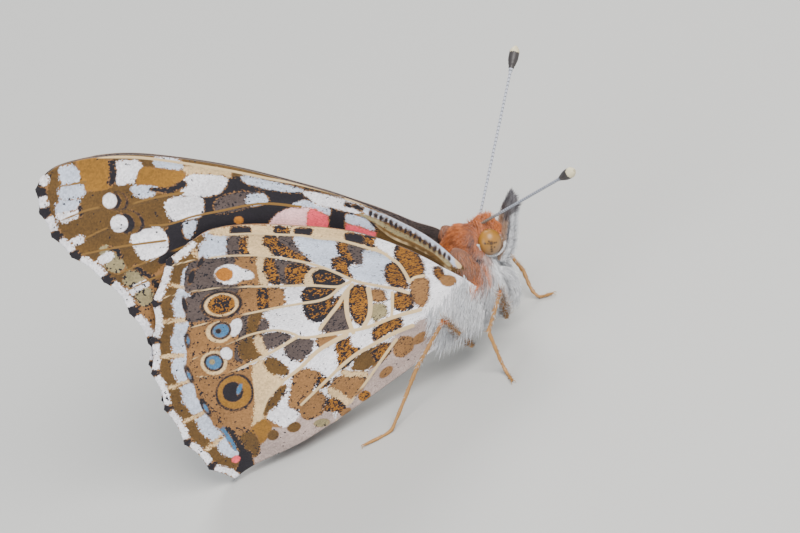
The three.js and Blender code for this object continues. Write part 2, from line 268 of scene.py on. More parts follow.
# The colours of the scales, linear
SCALES = {
    "white": (0.80, 0.78, 0.82), "pale": (0.50, 0.55, 0.66), "cream": (0.62, 0.43, 0.22),
    "ochre": (0.098, 0.05, 0.012), "gold": (0.27, 0.105, 0.008), "black": (0.010, 0.008, 0.012),
    "grey": (0.072, 0.052, 0.047), "tan": (0.235, 0.113, 0.038), "red": (0.82, 0.085, 0.12),
    "pink": (0.86, 0.52, 0.53), "blue": (0.05, 0.15, 0.28), "orange": (0.38, 0.135, 0.014),
    "olive": (0.25, 0.205, 0.105), "rosy": (0.38, 0.29, 0.26), "amber": (0.24, 0.11, 0.014),
}
# The share of stray black scales among them, and what is added to it along the border of a patch
STRAY_BLACK = {"gold": 0.42, "grey": 0.22, "tan": 0.13, "pale": 0.05, "ochre": 0.05, "olive": 0.10,
               "rosy": 0.06, "white": 0.07}
SPECKLED_RIM = {"gold": 0.34, "grey": 0.16, "tan": 0.20, "pale": 0.10, "olive": 0.18, "ochre": 0.2}
SPECKLED_BLACK = 0.68  # the share of black in a speckled mark, over gold
CORNER_CUT = 0.17  # of an edge's length, where a patch's corner is rounded
SPREAD = 0.13  # how far a patch runs into its neighbours, mm


def on_wing(pixels, side_at):
    """Where pixels of the photograph's 800 by 533 frame lie on a wing's right face, [back, up] in mm."""
    offset = (np.array(pixels, float) - HINGE_PIXEL) / FOCAL_PIXELS
    ray = np.outer(offset[:, 0], right) - np.outer(offset[:, 1], up) - np.array(back)
    eye_point = np.array(target + DISTANCE * back) - HINGE
    side = 1.0
    for _ in range(6):
        reach = (-side - eye_point[1]) / ray[:, 1]
        place = eye_point + reach[:, None] * ray
        side = side_at(-place[:, 0], place[:, 2]) + OUT_OF_MIDDLE
    return np.stack([-place[:, 0], place[:, 2]], axis=1)


def rounded(corners):
    """The outline with every corner cut off twice, a little way along its edges."""
    for _ in range(2):
        ahead = np.roll(corners, -1, axis=0) - corners
        cut = [corners + CORNER_CUT * ahead, corners + (1 - CORNER_CUT) * ahead]
        corners = np.stack(cut, axis=1).reshape(-1, 2)
    return corners


class WingPainter:
    """Keeps, for every place on a wing face, how deep it lies inside each colour, in mm."""

    def __init__(self, places, ground):
        self.b, self.u = places[:, 0], places[:, 1]
        self.depth = {name: np.full(len(places), -1.0) for name in SCALES}
        self.depth[ground] += 2
        self.stray = np.full(len(places), STRAY_BLACK.get(ground, 0.0))
        self.crisp = np.zeros(len(places))
        self.veins, self.vein_cream = np.full(len(places), 9.0), np.zeros(len(places))

    def paint(self, colour, outside, stray=None):
        for name, depth in self.depth.items():
            inside = np.maximum(depth, -outside) if name == colour else np.minimum(depth, outside)
            self.depth[name] = inside
        amount = STRAY_BLACK.get(colour, 0.0) if stray is None else stray
        cover = np.clip(0.5 - outside / 0.1, 0, 1)
        self.stray += (amount - self.stray) * cover

    def spot(self, colour, b, u, long, wide, lean, stray=None):
        """An ellipse with a clean edge."""
        turn = math.radians(lean)
        x = (self.b - b) * math.cos(turn) + (self.u - u) * math.sin(turn)
        y = (self.u - u) * math.cos(turn) - (self.b - b) * math.sin(turn)
        self.clean(colour, (np.hypot(x / long, y / wide) - 0.5) * wide, stray)

    def clean(self, colour, outside, stray):
        self.paint(colour, outside, stray)
        self.crisp = np.maximum(self.crisp, fade(outside, 0.15, 0.4))

    def speckled(self, colour, outside, stray):
        self.paint(colour, outside, stray)
        self.stray += SPECKLED_RIM.get(colour, 0.0) * np.exp(-((outside + 0.08) / 0.16) ** 2)

    def patch(self, colour, *corners, stray=None):
        """A patch with any number of sharp corners."""
        outside = np.full(len(self.b), FAR)
        inside = np.zeros(len(self.b), bool)
        for start, end in zip(corners, corners[1:] + corners[:1]):
            outside = np.minimum(outside, to_segment(self.b, self.u, start, end)[0])
            crosses = (start[1] > self.u) != (end[1] > self.u)
            rise = (end[1] - start[1]) or 1e-9
            inside ^= crosses & (self.b < start[0] + (end[0] - start[0]) * (self.u - start[1]) / rise)
        self.speckled(colour, np.where(inside, -outside, outside) - SPREAD, stray)

    def from_curve(self, start_width, end_width, points):
        curve = smooth_line(points, 5 * len(points)) if len(points) > 2 else np.array(points)
        outside = np.full(len(self.b), FAR)
        for k in range(len(curve) - 1):
            away, t = to_segment(self.b, self.u, curve[k], curve[k + 1])
            width = start_width + (end_width - start_width) * (k + t) / (len(curve) - 1)
            outside = np.minimum(outside, away - width / 2)
        return outside

    def line(self, colour, start_width, end_width, *points):
        self.paint(colour, self.from_curve(start_width, end_width, points))

    def vein(self, colour, start_width, end_width, *points):
        away = self.from_curve(start_width, end_width, points)
        self.vein_cream = np.where(away < self.veins, float(colour == "cream"), self.vein_cream)
        self.veins = np.minimum(self.veins, away)

    def read_off(self, patches, streaks, spots, veins, side_at):
        """Paints marks that are placed by the photograph. The first word of a mark's name is its colour."""
        def finish(name):
            colour = name.split()[0]
            return ("gold", SPECKLED_BLACK) if colour == "speckled" else (colour, None)

        for name, corners in patches.items():
            colour, stray = finish(name)
            self.patch(colour, *rounded(on_wing(corners, side_at)).tolist(), stray=stray)
        for name, (start_width, end_width, points) in streaks.items():
            self.line(finish(name)[0], start_width, end_width, *on_wing(points, side_at))
        for name, ((x, y), width, height, lean) in spots.items():
            colour, stray = finish(name)
            turn = math.radians(lean)
            along = (x + math.cos(turn) * width / 2, y - math.sin(turn) * width / 2)
            over = (x + math.sin(turn) * height / 2, y + math.cos(turn) * height / 2)
            middle, end, side = on_wing([(x, y), along, over], side_at)
            axes = np.stack([end - middle, side - middle], axis=1)
            share = np.hypot(*(np.linalg.inv(axes) @ (np.stack([self.b, self.u]) - middle[:, None])))
            self.clean(colour, (share - 1) * np.linalg.norm(axes, -2), stray)
        for name, (start_width, end_width, points) in veins.items():
            self.vein(finish(name)[0], start_width, end_width, *on_wing(points, side_at))


# The marks of the undersides, read off the photograph, in pixels of its 800 by 533 frame: the
# corners of each patch; a streak's or vein's widths in mm and its points; a spot's middle, width, height
# and lean. Veins are lettered from the front, and a mark between two of them is named by both.
FOREWING_PATCHES = {
    "black field behind the middle": [(166, 232), (181, 196), (206, 192), (229, 178), (262, 181),
        (300, 188), (346, 202), (378, 226), (360, 244), (160, 262), (158, 246)],
    "amber apex block": [(75, 158), (111, 160), (113, 178), (108, 187), (84, 190), (80, 175)],
    "white costal spot": [(114, 162), (138, 161), (140, 172), (132, 181), (117, 184), (114, 175)],
    "pale costal edge": [(152, 157), (178, 160), (181, 168), (166, 171), (156, 166)],
    "amber costal block": [(140, 168), (160, 170), (183, 173), (182, 183), (158, 188), (136, 184)],
    "pale smoke": [(131, 187), (145, 186), (158, 188), (145, 197), (133, 193)],
    "cream edge of the costal bar": [(184, 165), (229, 171), (228, 178), (186, 176)],
    "white costal bar": [(180, 194), (186, 174), (228, 177), (220, 192), (205, 196)],
    "white lower half of the costal bar": [(165, 204), (172, 198), (202, 197), (201, 216), (173, 220),
        (168, 214)],
    "white square spot": [(131, 236), (136, 232), (158, 228), (165, 236), (166, 250), (146, 260),
        (140, 255), (132, 244)],
    "pale wedge": [(182, 223), (196, 220), (192, 232), (188, 239), (184, 234)],
    "grey smoke in the cell": [(214, 201), (236, 192), (266, 194), (252, 205), (216, 214)],
    "pale costal smoke": [(240, 176), (262, 180), (292, 187), (304, 191), (286, 191), (262, 187),
        (245, 182)],
    "pale smoke in the cell": [(246, 197), (262, 194), (268, 201), (250, 206)],
    "pink blush": [(269, 224), (276, 215), (292, 207), (311, 206), (327, 215), (326, 229), (276, 227)],
    "red blush": [(309, 210), (320, 211), (327, 218), (326, 229), (308, 228)],
    "pale edge over the blush": [(290, 205), (305, 200), (328, 207), (329, 215), (322, 211), (311, 206)],
    "red second blush": [(346, 222), (360, 224), (376, 235), (362, 238), (346, 233)],
    "pale over the second blush": [(346, 214), (364, 219), (375, 231), (360, 225), (346, 222)],
    "white costal streak": [(300, 190), (346, 201), (370, 211), (364, 214), (344, 210), (316, 203)],
    "pale outer row": [(59, 168), (72, 166), (77, 172), (78, 180), (60, 182)],
    "pale outer row 2": [(58, 187), (81, 183), (82, 196), (60, 199)],
    "white outer row": [(55, 214), (75, 209), (77, 215), (62, 222)],
    "pale outer row 3": [(56, 203), (76, 200), (76, 208), (56, 212)],
    "white outer row 2": [(71, 241), (79, 236), (82, 239), (74, 244)],
    "olive outer row": [(101, 247), (107, 247), (113, 254), (124, 267), (113, 272), (101, 262)],
    "white outer row 3": [(97, 260), (108, 252), (111, 256), (101, 264)],
    "olive outer row 2": [(127, 272), (137, 272), (147, 285), (135, 292), (122, 281)],
    "white outer row 4": [(128, 290), (145, 281), (147, 285), (131, 294)],
    "olive outer row 3": [(133, 296), (147, 287), (153, 300), (143, 305)],
}
FOREWING_STREAKS = {
    "black bar beyond the apex block": (0.35, 0.45, [(110, 161), (112, 172), (110, 182)]),
    "black under the costal block": (0.25, 0.5, [(150, 189), (166, 190), (182, 184)]),
    "black costal ring": (0.3, 0.3, [(346, 204), (354, 206), (361, 209)]),
    "pale middle of the costal ring": (0.12, 0.12, [(349, 204), (352, 205)]),
    "pale costal strip of dashes": (0.5, 0.42, [(366, 211), (390, 220), (417, 232), (438, 247),
        (456, 264)]),
    "olive streak": (0.3, 0.32, [(360, 214), (378, 222), (395, 232), (416, 241), (436, 252), (449, 264)]),
    "black outer row": (0.3, 0.3, [(109, 248), (115, 250), (119, 256)]),
    "black outer row 2": (0.25, 0.45, [(134, 266), (142, 273), (151, 279), (158, 290), (155, 298)]),
    "black outer row 3": (0.2, 0.2, [(78, 207), (79, 216)]),
}
FOREWING_SPOTS = {
    "orange front": ((238, 220), 10, 8, 0),
    "black ring of the upper eyespot": ((114, 201), 26, 20, 0),
    "ochre eyespots": ((112.5, 201), 24, 20, 0),
    "black eyespots": ((111, 201), 18, 17, 0),
    "white eyespots": ((108.5, 200.5), 14.5, 15.5, 0),
    "black eyespots 2": ((128, 221.5), 31, 24, -20),
    "ochre eyespots 2": ((125.5, 222), 29, 24, -20),
    "black eyespots 3": ((122.5, 223), 22.5, 20, -20),
    "white eyespots 2": ((118, 223.5), 17.5, 17.5, -30),
    "black outer row": ((163, 259), 14, 8, 30),
}
FOREWING_VEINS = {
    "ochre vein a": (0.1, 0.16, [(116, 208), (149, 198), (182, 192)]),
    "ochre vein b": (0.1, 0.16, [(83, 238), (108, 227), (136, 225), (166, 224), (191, 216), (216, 211),
        (260, 203), (300, 206)]),
    "ochre vein c": (0.1, 0.16, [(80, 254), (120, 246), (164, 240)]),
    "ochre vein d": (0.1, 0.16, [(116, 274), (141, 263), (166, 253), (191, 243)]),
    "ochre vein e": (0.1, 0.16, [(128, 289), (149, 279), (166, 273)]),
    "ochre vein f": (0.1, 0.16, [(60, 220), (84, 210), (110, 204)]),
    "ochre vein g": (0.1, 0.16, [(57, 186), (84, 181)]),
    "cream first vein": (0.16, 0.3, [(345, 198), (368, 205), (403, 222), (430, 234), (449, 250),
        (459, 266)]),
    "cream second vein": (0.1, 0.22, [(366, 216), (392, 237), (420, 249), (438, 259), (449, 269)]),
    "cream costa": (0.18, 0.12, [(96, 156), (140, 157), (186, 163), (229, 170), (268, 178), (300, 184),
        (345, 196)]),
}
HINDWING_PATCHES = {
    "cream costal strip": [(206, 232), (243, 226), (300, 228), (347, 231), (390, 250), (384, 253),
        (336, 239), (280, 234), (225, 234)],
    "black costal block": [(230, 228), (248, 228), (248, 232), (231, 232)],
    "black costal block 2": [(295, 229), (311, 230), (309, 234), (296, 234)],
    "black costal block 3": [(346, 234), (364, 236), (364, 242), (347, 240)],
    "gold costal block": [(274, 227), (288, 228), (287, 233), (275, 233)],
    "gold costal block 2": [(365, 236), (376, 238), (374, 246), (366, 244)],
    "white front": [(376, 239), (394, 247), (396, 257), (377, 246)],
    "rosy behind the body": [(334, 422), (344, 404), (357, 387), (380, 357), (396, 335), (412, 326),
        (425, 318), (446, 330), (409, 372), (369, 404), (338, 424), (306, 441), (288, 455), (257, 474),
        (248, 455), (256, 428), (290, 430), (306, 408), (330, 412)],
    "pale outer": [(200, 244), (214, 238), (230, 237), (232, 253), (214, 256), (198, 258)],
    "grey A-B": [(227, 237), (241, 236), (243, 254), (226, 256)],
    "gold A-B": [(240, 240), (248, 238), (249, 253), (241, 254)],
    "cream A-B": [(248, 236), (264, 236), (268, 245), (276, 254), (249, 254)],
    "gold A-B 2": [(263, 236), (273, 236), (280, 242), (293, 250), (311, 260), (300, 261), (276, 254),
        (264, 244)],
    "grey A-B 2": [(277, 236), (291, 236), (294, 242), (300, 250), (312, 258), (300, 254), (281, 243)],
    "pale large": [(293, 237), (300, 236), (336, 241), (341, 250), (339, 262), (338, 274), (320, 266),
        (303, 251)],
    "gold A-B 3": [(337, 243), (345, 242), (352, 248), (357, 262), (350, 262), (339, 252)],
    "grey A-B 3": [(346, 244), (362, 247), (370, 255), (366, 268), (359, 268), (353, 256)],
    "gold small": [(333, 259), (342, 258), (350, 268), (356, 278), (346, 275), (333, 266)],
    "pale A-B": [(364, 250), (380, 253), (394, 262), (386, 268), (386, 284), (356, 279), (349, 266),
        (366, 268)],
    "gold below the cross vein": [(387, 266), (394, 262), (401, 270), (408, 288), (391, 285), (386, 276)],
    "gold A-B 4": [(396, 247), (404, 244), (414, 250), (421, 262), (423, 271), (419, 278), (409, 279),
        (402, 266), (396, 256)],
    "gold A-B 5": [(434, 269), (440, 268), (443, 277), (440, 280), (435, 274)],
    "tan A-B": [(410, 281), (424, 277), (428, 282), (427, 300), (422, 307), (412, 300)],
    "gold A-B 6": [(393, 295), (401, 292), (411, 296), (412, 306), (403, 310), (394, 307)],
    "grey B-C": [(186, 264), (204, 259), (236, 257), (240, 285), (205, 289), (183, 292)],
    "tan B-C": [(235, 258), (256, 256), (266, 284), (236, 286)],
    "cream B-C": [(257, 256), (266, 256), (266, 284), (260, 284)],
    "gold B-C": [(265, 258), (272, 258), (276, 268), (281, 283), (270, 283), (264, 271)],
    "grey B-C 2": [(274, 259), (300, 262), (312, 270), (302, 284), (282, 284), (277, 268)],
    "gold B-C 2": [(287, 266), (304, 266), (310, 273), (301, 284), (288, 283)],
    "cream B-C 2": [(312, 268), (328, 270), (318, 284), (303, 284)],
    "speckled B-C": [(313, 274), (323, 270), (336, 273), (343, 281), (341, 284), (316, 284)],
    "grey C-D": [(184, 299), (200, 292), (240, 287), (262, 287), (260, 309), (236, 316), (205, 322),
        (186, 322)],
    "tan C-D": [(236, 290), (272, 288), (286, 290), (285, 304), (262, 311), (240, 316)],
    "gold band": [(258, 289), (265, 288), (266, 308), (259, 311)],
    "white C-D": [(285, 287), (304, 286), (303, 300), (287, 304)],
    "speckled C-D": [(302, 294), (307, 287), (330, 286), (337, 288), (329, 295), (318, 300), (304, 302)],
    "tan D-E": [(186, 326), (210, 322), (236, 317), (262, 311), (262, 334), (236, 342), (200, 354),
        (188, 354)],
    "grey D-E": [(240, 317), (250, 314), (252, 330), (244, 338), (238, 337)],
    "ochre band": [(250, 314), (262, 311), (256, 332), (246, 334)],
    "white large": [(264, 316), (272, 310), (304, 303), (306, 314), (318, 328), (317, 334), (294, 332),
        (262, 326)],
    "grey D-E 2": [(262, 318), (268, 326), (262, 332), (257, 330)],
    "speckled D-E": [(304, 304), (312, 301), (322, 299), (331, 300), (329, 312), (319, 320), (312, 320),
        (306, 314)],
    "gold D-E": [(326, 298), (333, 296), (330, 312), (323, 317)],
    "gold D-E 2": [(336, 298), (344, 296), (345, 305), (336, 312), (330, 314)],
    "grey D-E 3": [(330, 314), (338, 310), (346, 308), (350, 330), (333, 332), (319, 329)],
    "gold tall oval": [(349, 290), (355, 286), (364, 286), (369, 296), (368, 312), (361, 324), (356, 321),
        (351, 310)],
    "tan D-E 2": [(371, 289), (383, 290), (386, 301), (372, 301)],
    "olive D-E": [(371, 305), (384, 304), (387, 314), (375, 320), (371, 316)],
    "tan small eyespots": [(188, 356), (204, 354), (233, 343), (252, 336), (250, 360), (238, 368),
        (221, 374), (196, 376)],
    "grey small eyespots": [(236, 344), (244, 340), (246, 356), (240, 362), (234, 360)],
    "ochre small eyespots": [(238, 344), (252, 338), (262, 354), (252, 360), (240, 358)],
    "grey smoke": [(258, 337), (272, 333), (292, 335), (280, 345), (264, 350), (258, 344)],
    "cream edge": [(254, 341), (258, 336), (262, 349), (266, 353), (259, 352)],
    "tan hind": [(196, 380), (222, 378), (240, 371), (252, 364), (258, 384), (256, 412), (250, 432),
        (226, 430), (206, 404)],
    "cream hind": [(252, 368), (262, 360), (270, 372), (282, 382), (267, 396), (262, 424), (252, 428),
        (256, 404)],
    "ochre hind": [(263, 361), (270, 357), (288, 370), (284, 376), (268, 373)],
    "ochre streak": [(266, 404), (280, 388), (286, 386), (276, 404), (262, 416)],
    "grey hind": [(284, 343), (298, 338), (313, 340), (310, 352), (298, 361), (286, 356)],
    "tan hind 2": [(317, 336), (332, 334), (338, 336), (328, 344), (318, 346)],
    "gold hind": [(338, 342), (350, 338), (359, 340), (358, 352), (345, 367), (334, 368), (336, 352)],
    "white hind": [(352, 335), (366, 328), (374, 328), (370, 342), (358, 346), (353, 344)],
    "gold hind 2": [(374, 330), (386, 320), (400, 317), (402, 325), (386, 333), (374, 340)],
    "white hind 2": [(334, 350), (324, 358), (318, 372), (330, 376), (336, 368)],
    "tan rosy": [(292, 376), (300, 369), (316, 371), (322, 378), (312, 386), (306, 400), (296, 410),
        (288, 406), (292, 390)],
    "ochre hind 2": [(352, 370), (356, 357), (372, 348), (388, 342), (390, 347), (377, 362), (364, 370)],
    "cream hind 2": [(342, 371), (352, 374), (366, 373), (364, 378), (346, 378)],
    "tan hind 3": [(330, 386), (338, 376), (350, 379), (366, 377), (360, 390), (346, 400), (332, 392)],
    "cream hind 3": [(328, 389), (334, 391), (348, 400), (346, 405), (334, 398)],
    "gold hind 3": [(322, 410), (328, 400), (334, 399), (344, 408), (342, 412), (332, 410)],
    "tan rosy 2": [(395, 346), (402, 338), (412, 338), (412, 348), (402, 356), (396, 354)],
    "gold hind 4": [(372, 352), (386, 343), (390, 350), (378, 362)],
    "tan hind 4": [(299, 397), (317, 390), (326, 399), (320, 414), (306, 420), (298, 411)],
    "amber hind": [(252, 429), (263, 420), (270, 428), (263, 441), (252, 446)],
    "gold hind 5": [(318, 378), (328, 378), (327, 386), (318, 388)],
    "ochre tornus": [(238, 440), (250, 432), (257, 442), (256, 456), (246, 458)],
}
HINDWING_STREAKS = {
    "blue tornus": (0.45, 0.6, [(223, 430), (230, 440), (236, 448)]),
    "black tornus": (0.3, 0.5, [(226, 429), (236, 442), (241, 452)]),
    "black tornus 2": (0.9, 1.3, [(244, 456), (245, 466), (242, 474)]),
}
HINDWING_SPOTS = {
    "tan peach": ((448, 281), 17, 12, 0),
    "white teardrop": ((228, 274.5), 30, 20, 0),
    "white B-C": ((243, 274.5), 20, 10, -10),
    "black ring eyespot": ((220, 305), 42.5, 28, 8),
    "cream C-D": ((220, 305), 35.5, 23.5, 8),
    "gold C-D": ((220, 305), 28, 19.5, 8),
    "speckled C-D": ((221, 305.5), 19, 14, 8),
    "cream small eyespots": ((218, 332), 27, 22, 10),
    "white small eyespots": ((234, 327.5), 12, 19, -25),
    "black small eyespots": ((219.5, 331), 21.5, 17.5, 20),
    "blue small eyespots": ((219.5, 331), 17, 13.5, 20),
    "black small eyespots 2": ((217, 331.5), 6, 5, 0),
    "cream small eyespots 2": ((212.5, 363), 27, 24, 0),
    "white small eyespots 2": ((225, 354), 13, 12, -40),
    "black small eyespots 3": ((212.5, 363), 20, 18, 0),
    "blue small eyespots 2": ((212.5, 363), 16, 14, 0),
    "olive small eyespots": ((211, 362.5), 6, 6, 0),
    "gold hind": ((364, 396), 13, 10, 20),
    "tan hind": ((420, 338), 18, 9, 35),
    "tan hind 2": ((386, 372), 16, 8, 40),
    "tan hind 3": ((345, 412), 12, 7, 30),
    "olive hind": ((321, 423.5), 16, 8, 10),
    "ochre hind": ((293, 428), 14, 10, 20),
    "ochre hind 2": ((272, 436), 12, 10, 20),
    "black large eyespot": ((233, 393), 39, 38, 0),
    "amber large eyespot": ((233, 393), 34.5, 33.5, 0),
    "black large eyespot 2": ((231.5, 392.5), 21, 20.5, 0),
    "blue glint of the large eyespot": ((238, 390), 5, 12, -20),
    "orange B-C centre": ((223, 274.5), 18, 14, 0),
    "red tornus": ((235, 460), 9, 7, 20),
    "black chevron": ((199, 262), 13, 5, 65),
    "black chevron 2": ((190, 277), 16, 6, 72),
    "black chevron 3": ((183, 305), 17, 5, 100),
    "black chevron 4": ((186, 341), 16, 6.5, 95),
    "black chevron 5": ((187.5, 375), 20, 6.5, 115),
    "black chevron 6": ((204, 408), 22, 7, 118),
    "blue heart of chevron 4": ((186.5, 341), 9, 3.5, 95),
    "blue heart of chevron 5": ((187.5, 376), 10, 3.5, 115),
    "blue heart of chevron 6": ((204.5, 409), 11, 4, 118),
}
HINDWING_VEINS = {
    "cream vein A": (0.1, 0.2, [(227, 234), (255, 233), (278, 234), (301, 235), (320, 238), (336, 239),
        (353, 243), (370, 248), (382, 252), (391, 258), (398, 263), (405, 273), (409, 281)]),
    "cream vein B": (0.08, 0.2, [(171, 265), (186, 261), (203, 258), (220, 256), (255, 255), (289, 259),
        (320, 266), (338, 273), (354, 280), (382, 286), (408, 292)]),
    "cream vein C": (0.08, 0.16, [(161, 298), (174, 294), (192, 291), (226, 287), (266, 286), (312, 285),
        (338, 286), (347, 283)]),
    "cream vein D": (0.08, 0.2, [(178, 330), (209, 322), (235, 316), (278, 307), (301, 303), (319, 300),
        (329, 296), (342, 285), (350, 281)]),
    "cream vein E": (0.08, 0.25, [(191, 359), (209, 351), (233, 341), (251, 334), (275, 330), (294, 334),
        (300, 337), (346, 331), (369, 326), (398, 315), (420, 309)]),
    "cream vein F": (0.08, 0.2, [(194, 377), (221, 375), (239, 368), (263, 356), (281, 346), (297, 336)]),
    "cream vein G": (0.1, 0.3, [(258, 421), (267, 397), (281, 382), (300, 367), (318, 350), (346, 334)]),
    "cream vein H": (0.15, 0.3, [(300, 405), (329, 377), (344, 363), (357, 353), (380, 340), (412, 325)]),
    "cream vein I": (0.12, 0.2, [(334, 422), (344, 410), (357, 393), (369, 377), (380, 361), (396, 339)]),
    "cream vein J": (0.2, 0.25, [(319, 329), (330, 314), (338, 304), (345, 292), (352, 284)]),
    "cream vein K": (0.25, 0.3, [(353, 332), (348, 318), (346, 304), (347, 290)]),
    "cream vein L": (0.25, 0.3, [(363, 327), (369, 315), (370, 300), (368, 288)]),
    "cream vein M": (0.1, 0.18, [(409, 281), (414, 277), (423, 275)]),
    "cream vein N": (0.14, 0.2, [(391, 318), (392, 306), (392, 292)]),
}


COSTAL_DASHES = 17  # black dashes in the pale strip along the front edge
TAN_CORNER = {"back": 16.5, "up": 4.0, "radius": 6.5}
HINDWING_BANDS = {"tan": 5.2, "pale": 2.05, "ochre": 1.1}  # mm in from the outer edge
FRINGE = {"forewing": 0.36, "hindwing": 0.25}  # mm of white scales, black at the vein ends


def forewing_underside(places, rim, near_end, _):
    """Ochre with a black field behind the middle, white spots, and a coral blush towards the root."""
    wing = WingPainter(places, "ochre")
    wing.paint("tan", np.hypot(wing.b - TAN_CORNER["back"], wing.u - TAN_CORNER["up"]) - TAN_CORNER["radius"])
    wing.read_off(FOREWING_PATCHES, FOREWING_STREAKS, FOREWING_SPOTS, FOREWING_VEINS, forewing_side)
    for step in range(COSTAL_DASHES):
        share = (step + 0.5) / COSTAL_DASHES
        b, u = 3.95 - 3.4 * share ** 0.92, 6.5 - 5.6 * share
        long, wide = 0.52 + 0.07 * math.sin(5 * step), 0.25 - 0.05 * share
        wing.spot("black", b, u, long, wide, 122 + 8 * math.sin(3 * step))
    wing.paint("white", rim - FRINGE["forewing"])
    wing.paint("black", np.maximum(rim - FRINGE["forewing"] - 0.1, near_end - 0.4))
    return wing


def hindwing_underside(places, rim, near_end, near_middle):
    """Cloudy ochre, olive and white, netted with cream veins, with a row of five eyespots behind."""
    wing = WingPainter(places, "white")
    for colour, depth in HINDWING_BANDS.items():
        wing.paint(colour, rim - depth)
    wing.paint("cream", np.maximum(rim - 1.9, near_middle - 0.10))
    wing.read_off(HINDWING_PATCHES, HINDWING_STREAKS, HINDWING_SPOTS, HINDWING_VEINS, hindwing_side)
    wing.paint("white", rim - FRINGE["hindwing"])
    wing.paint("black", np.maximum(rim - 0.38, near_end - 0.24))
    return wing


def forewing_upperside(places, rim, near_end, _):
    """Salmon orange with black bars, a black tip with white spots, and a brown root."""
    wing = WingPainter(places, "orange")
    wing.patch("black", (12.2, 15.4), (14.2, 14.2), (15.4, 12.6), (17.4, 11.6), (18.4, 9.6), (20.6, 8.6),
               (24.0, 8.0), (24.0, 22.0), (16.0, 21.0))
    wing.patch("white", (14.2, 17.2), (13.3, 16.2), (15.2, 14.0), (16.6, 13.2), (16.8, 14.2))
    for b, u, size in ((18.2, 18.0, 1.2), (18.6, 16.6, 0.9), (18.8, 14.8, 1.1), (18.0, 12.6, 1.5)):
        wing.spot("white", b, u, size, 0.8 * size, 40)
    wing.patch("black", (9.4, 12.2), (12.6, 12.8), (13.6, 10.6), (12.4, 8.6), (11.0, 9.8), (9.0, 10.2))
    wing.patch("black", (11.4, 8.6), (13.6, 8.2), (14.6, 5.4), (12.4, 4.2), (11.0, 6.0))
    wing.spot("black", 8.2, 8.6, 1.6, 1.0, 20)
    wing.spot("black", 18.0, 6.0, 1.8, 1.3, 80)
    wing.patch("grey", (-1.0, 1.0), (1.0, 5.5), (6.0, 12.5), (15.0, 21.0), (22.0, 22.0), (20.0, 19.6),
               (8.0, 10.6), (3.6, 4.6), stray=0.35)
    wing.paint("grey", np.hypot(wing.b, wing.u) - 5.5, stray=0.3)
    wing.paint("black", rim - 1.2)
    wing.paint("white", rim - 0.35)
    wing.paint("black", np.maximum(rim - 0.4, near_end - 0.5))
    return wing


def hindwing_upperside(places, rim, near_end, _):
    """Salmon orange with three rows of black spots, and a brown root."""
    wing = WingPainter(places, "orange")
    wing.paint("grey", np.hypot(wing.b, wing.u) - 8.5)
    for b, u in ((14.5, 7.9), (15.7, 6.0), (16.7, 4.2), (18.3, 2.3), (18.2, -0.6)):
        wing.spot("black", b, u, 1.3, 1.2, 0)
    wing.paint("black", np.maximum(np.abs(rim - 2.1) - 0.35, 0.9 - near_end))
    wing.paint("black", np.maximum(np.abs(rim - 0.9) - 0.4, near_end - 0.7))
    wing.paint("white", rim - 0.4)
    wing.paint("black", np.maximum(rim - 0.45, near_end - 0.24))
    return wing


# The scale material: each scale is one small cell. A cell's own chance makes the borders of the marks
# ragged, strews black scales over the gold, and varies the tone a little.

SCALE_ORDER = ["grey", "rosy", "tan", "ochre", "olive", "orange", "gold", "pale", "white", "pink", "red",
               "cream", "amber", "blue", "black"]
VEIN_OCHRE, VEIN_CREAM = (0.20, 0.105, 0.025, 1), (0.62, 0.45, 0.24, 1)
SCALES_PER_MM = 14.0
RAGGED = 0.22  # mm
SCALE_RELIEF = 0.03 * MM


def node(tree, kind, links=(), **settings):
    made = tree.nodes.new(kind)
    for name, value in settings.items():
        setattr(made, name, value)
    for socket, source in dict(links).items():
        if isinstance(source, bpy.types.NodeSocket):
            tree.links.new(source, made.inputs[socket])
        else:
            made.inputs[socket].default_value = source
    return made


def math_node(tree, operation, a, b=0.0, c=0.0):
    return node(tree, "ShaderNodeMath", {0: a, 1: b, 2: c}, operation=operation).outputs[0]


def scaled_by(tree, value, factor, offset):
    return math_node(tree, "MULTIPLY_ADD", value, factor, offset)


def kept(tree, name, output="Fac"):
    """What the mesh keeps under a name for each of its points."""
    return node(tree, "ShaderNodeAttribute", attribute_name=name).outputs[output]


def split(tree, vector):
    return node(tree, "ShaderNodeSeparateXYZ", {0: vector}).outputs


def mix_colour(tree, factor, a, b, blend="MIX"):
    made = node(tree, "ShaderNodeMix", {0: factor, 6: a, 7: b}, data_type="RGBA", blend_type=blend)
    return made.outputs[2]


def new_material(name):
    material = bpy.data.materials.new(name)
    material.use_nodes = True
    return material, material.node_tree, material.node_tree.nodes["Principled BSDF"]


def surface(tree, shader, colour, settings):
    tree.links.new(colour, shader.inputs["Base Color"])
    for name, value in settings.items():
        shader.inputs[name].default_value = value


def node_group(name, inputs, outputs):
    group = bpy.data.node_groups.new(name, "ShaderNodeTree")
    for socket, kind in inputs.items():
        group.interface.new_socket(socket, in_out="INPUT", socket_type=kind)
    for socket, kind in outputs.items():
        group.interface.new_socket(socket, in_out="OUTPUT", socket_type=kind)
    return group, node(group, "NodeGroupInput").outputs, node(group, "NodeGroupOutput").inputs


# Two effects that several materials share: a colour made lighter or darker by a tone, and a fine grain
toned_group, given, results = node_group("toned", {"Color": "NodeSocketColor", "Tone": "NodeSocketFloat"},
                                         {"Color": "NodeSocketColor"})
grey = node(toned_group, "ShaderNodeCombineXYZ", {axis: given["Tone"] for axis in range(3)}).outputs[0]
toned_group.links.new(mix_colour(toned_group, 1.0, given["Color"], grey, "MULTIPLY"), results["Color"])

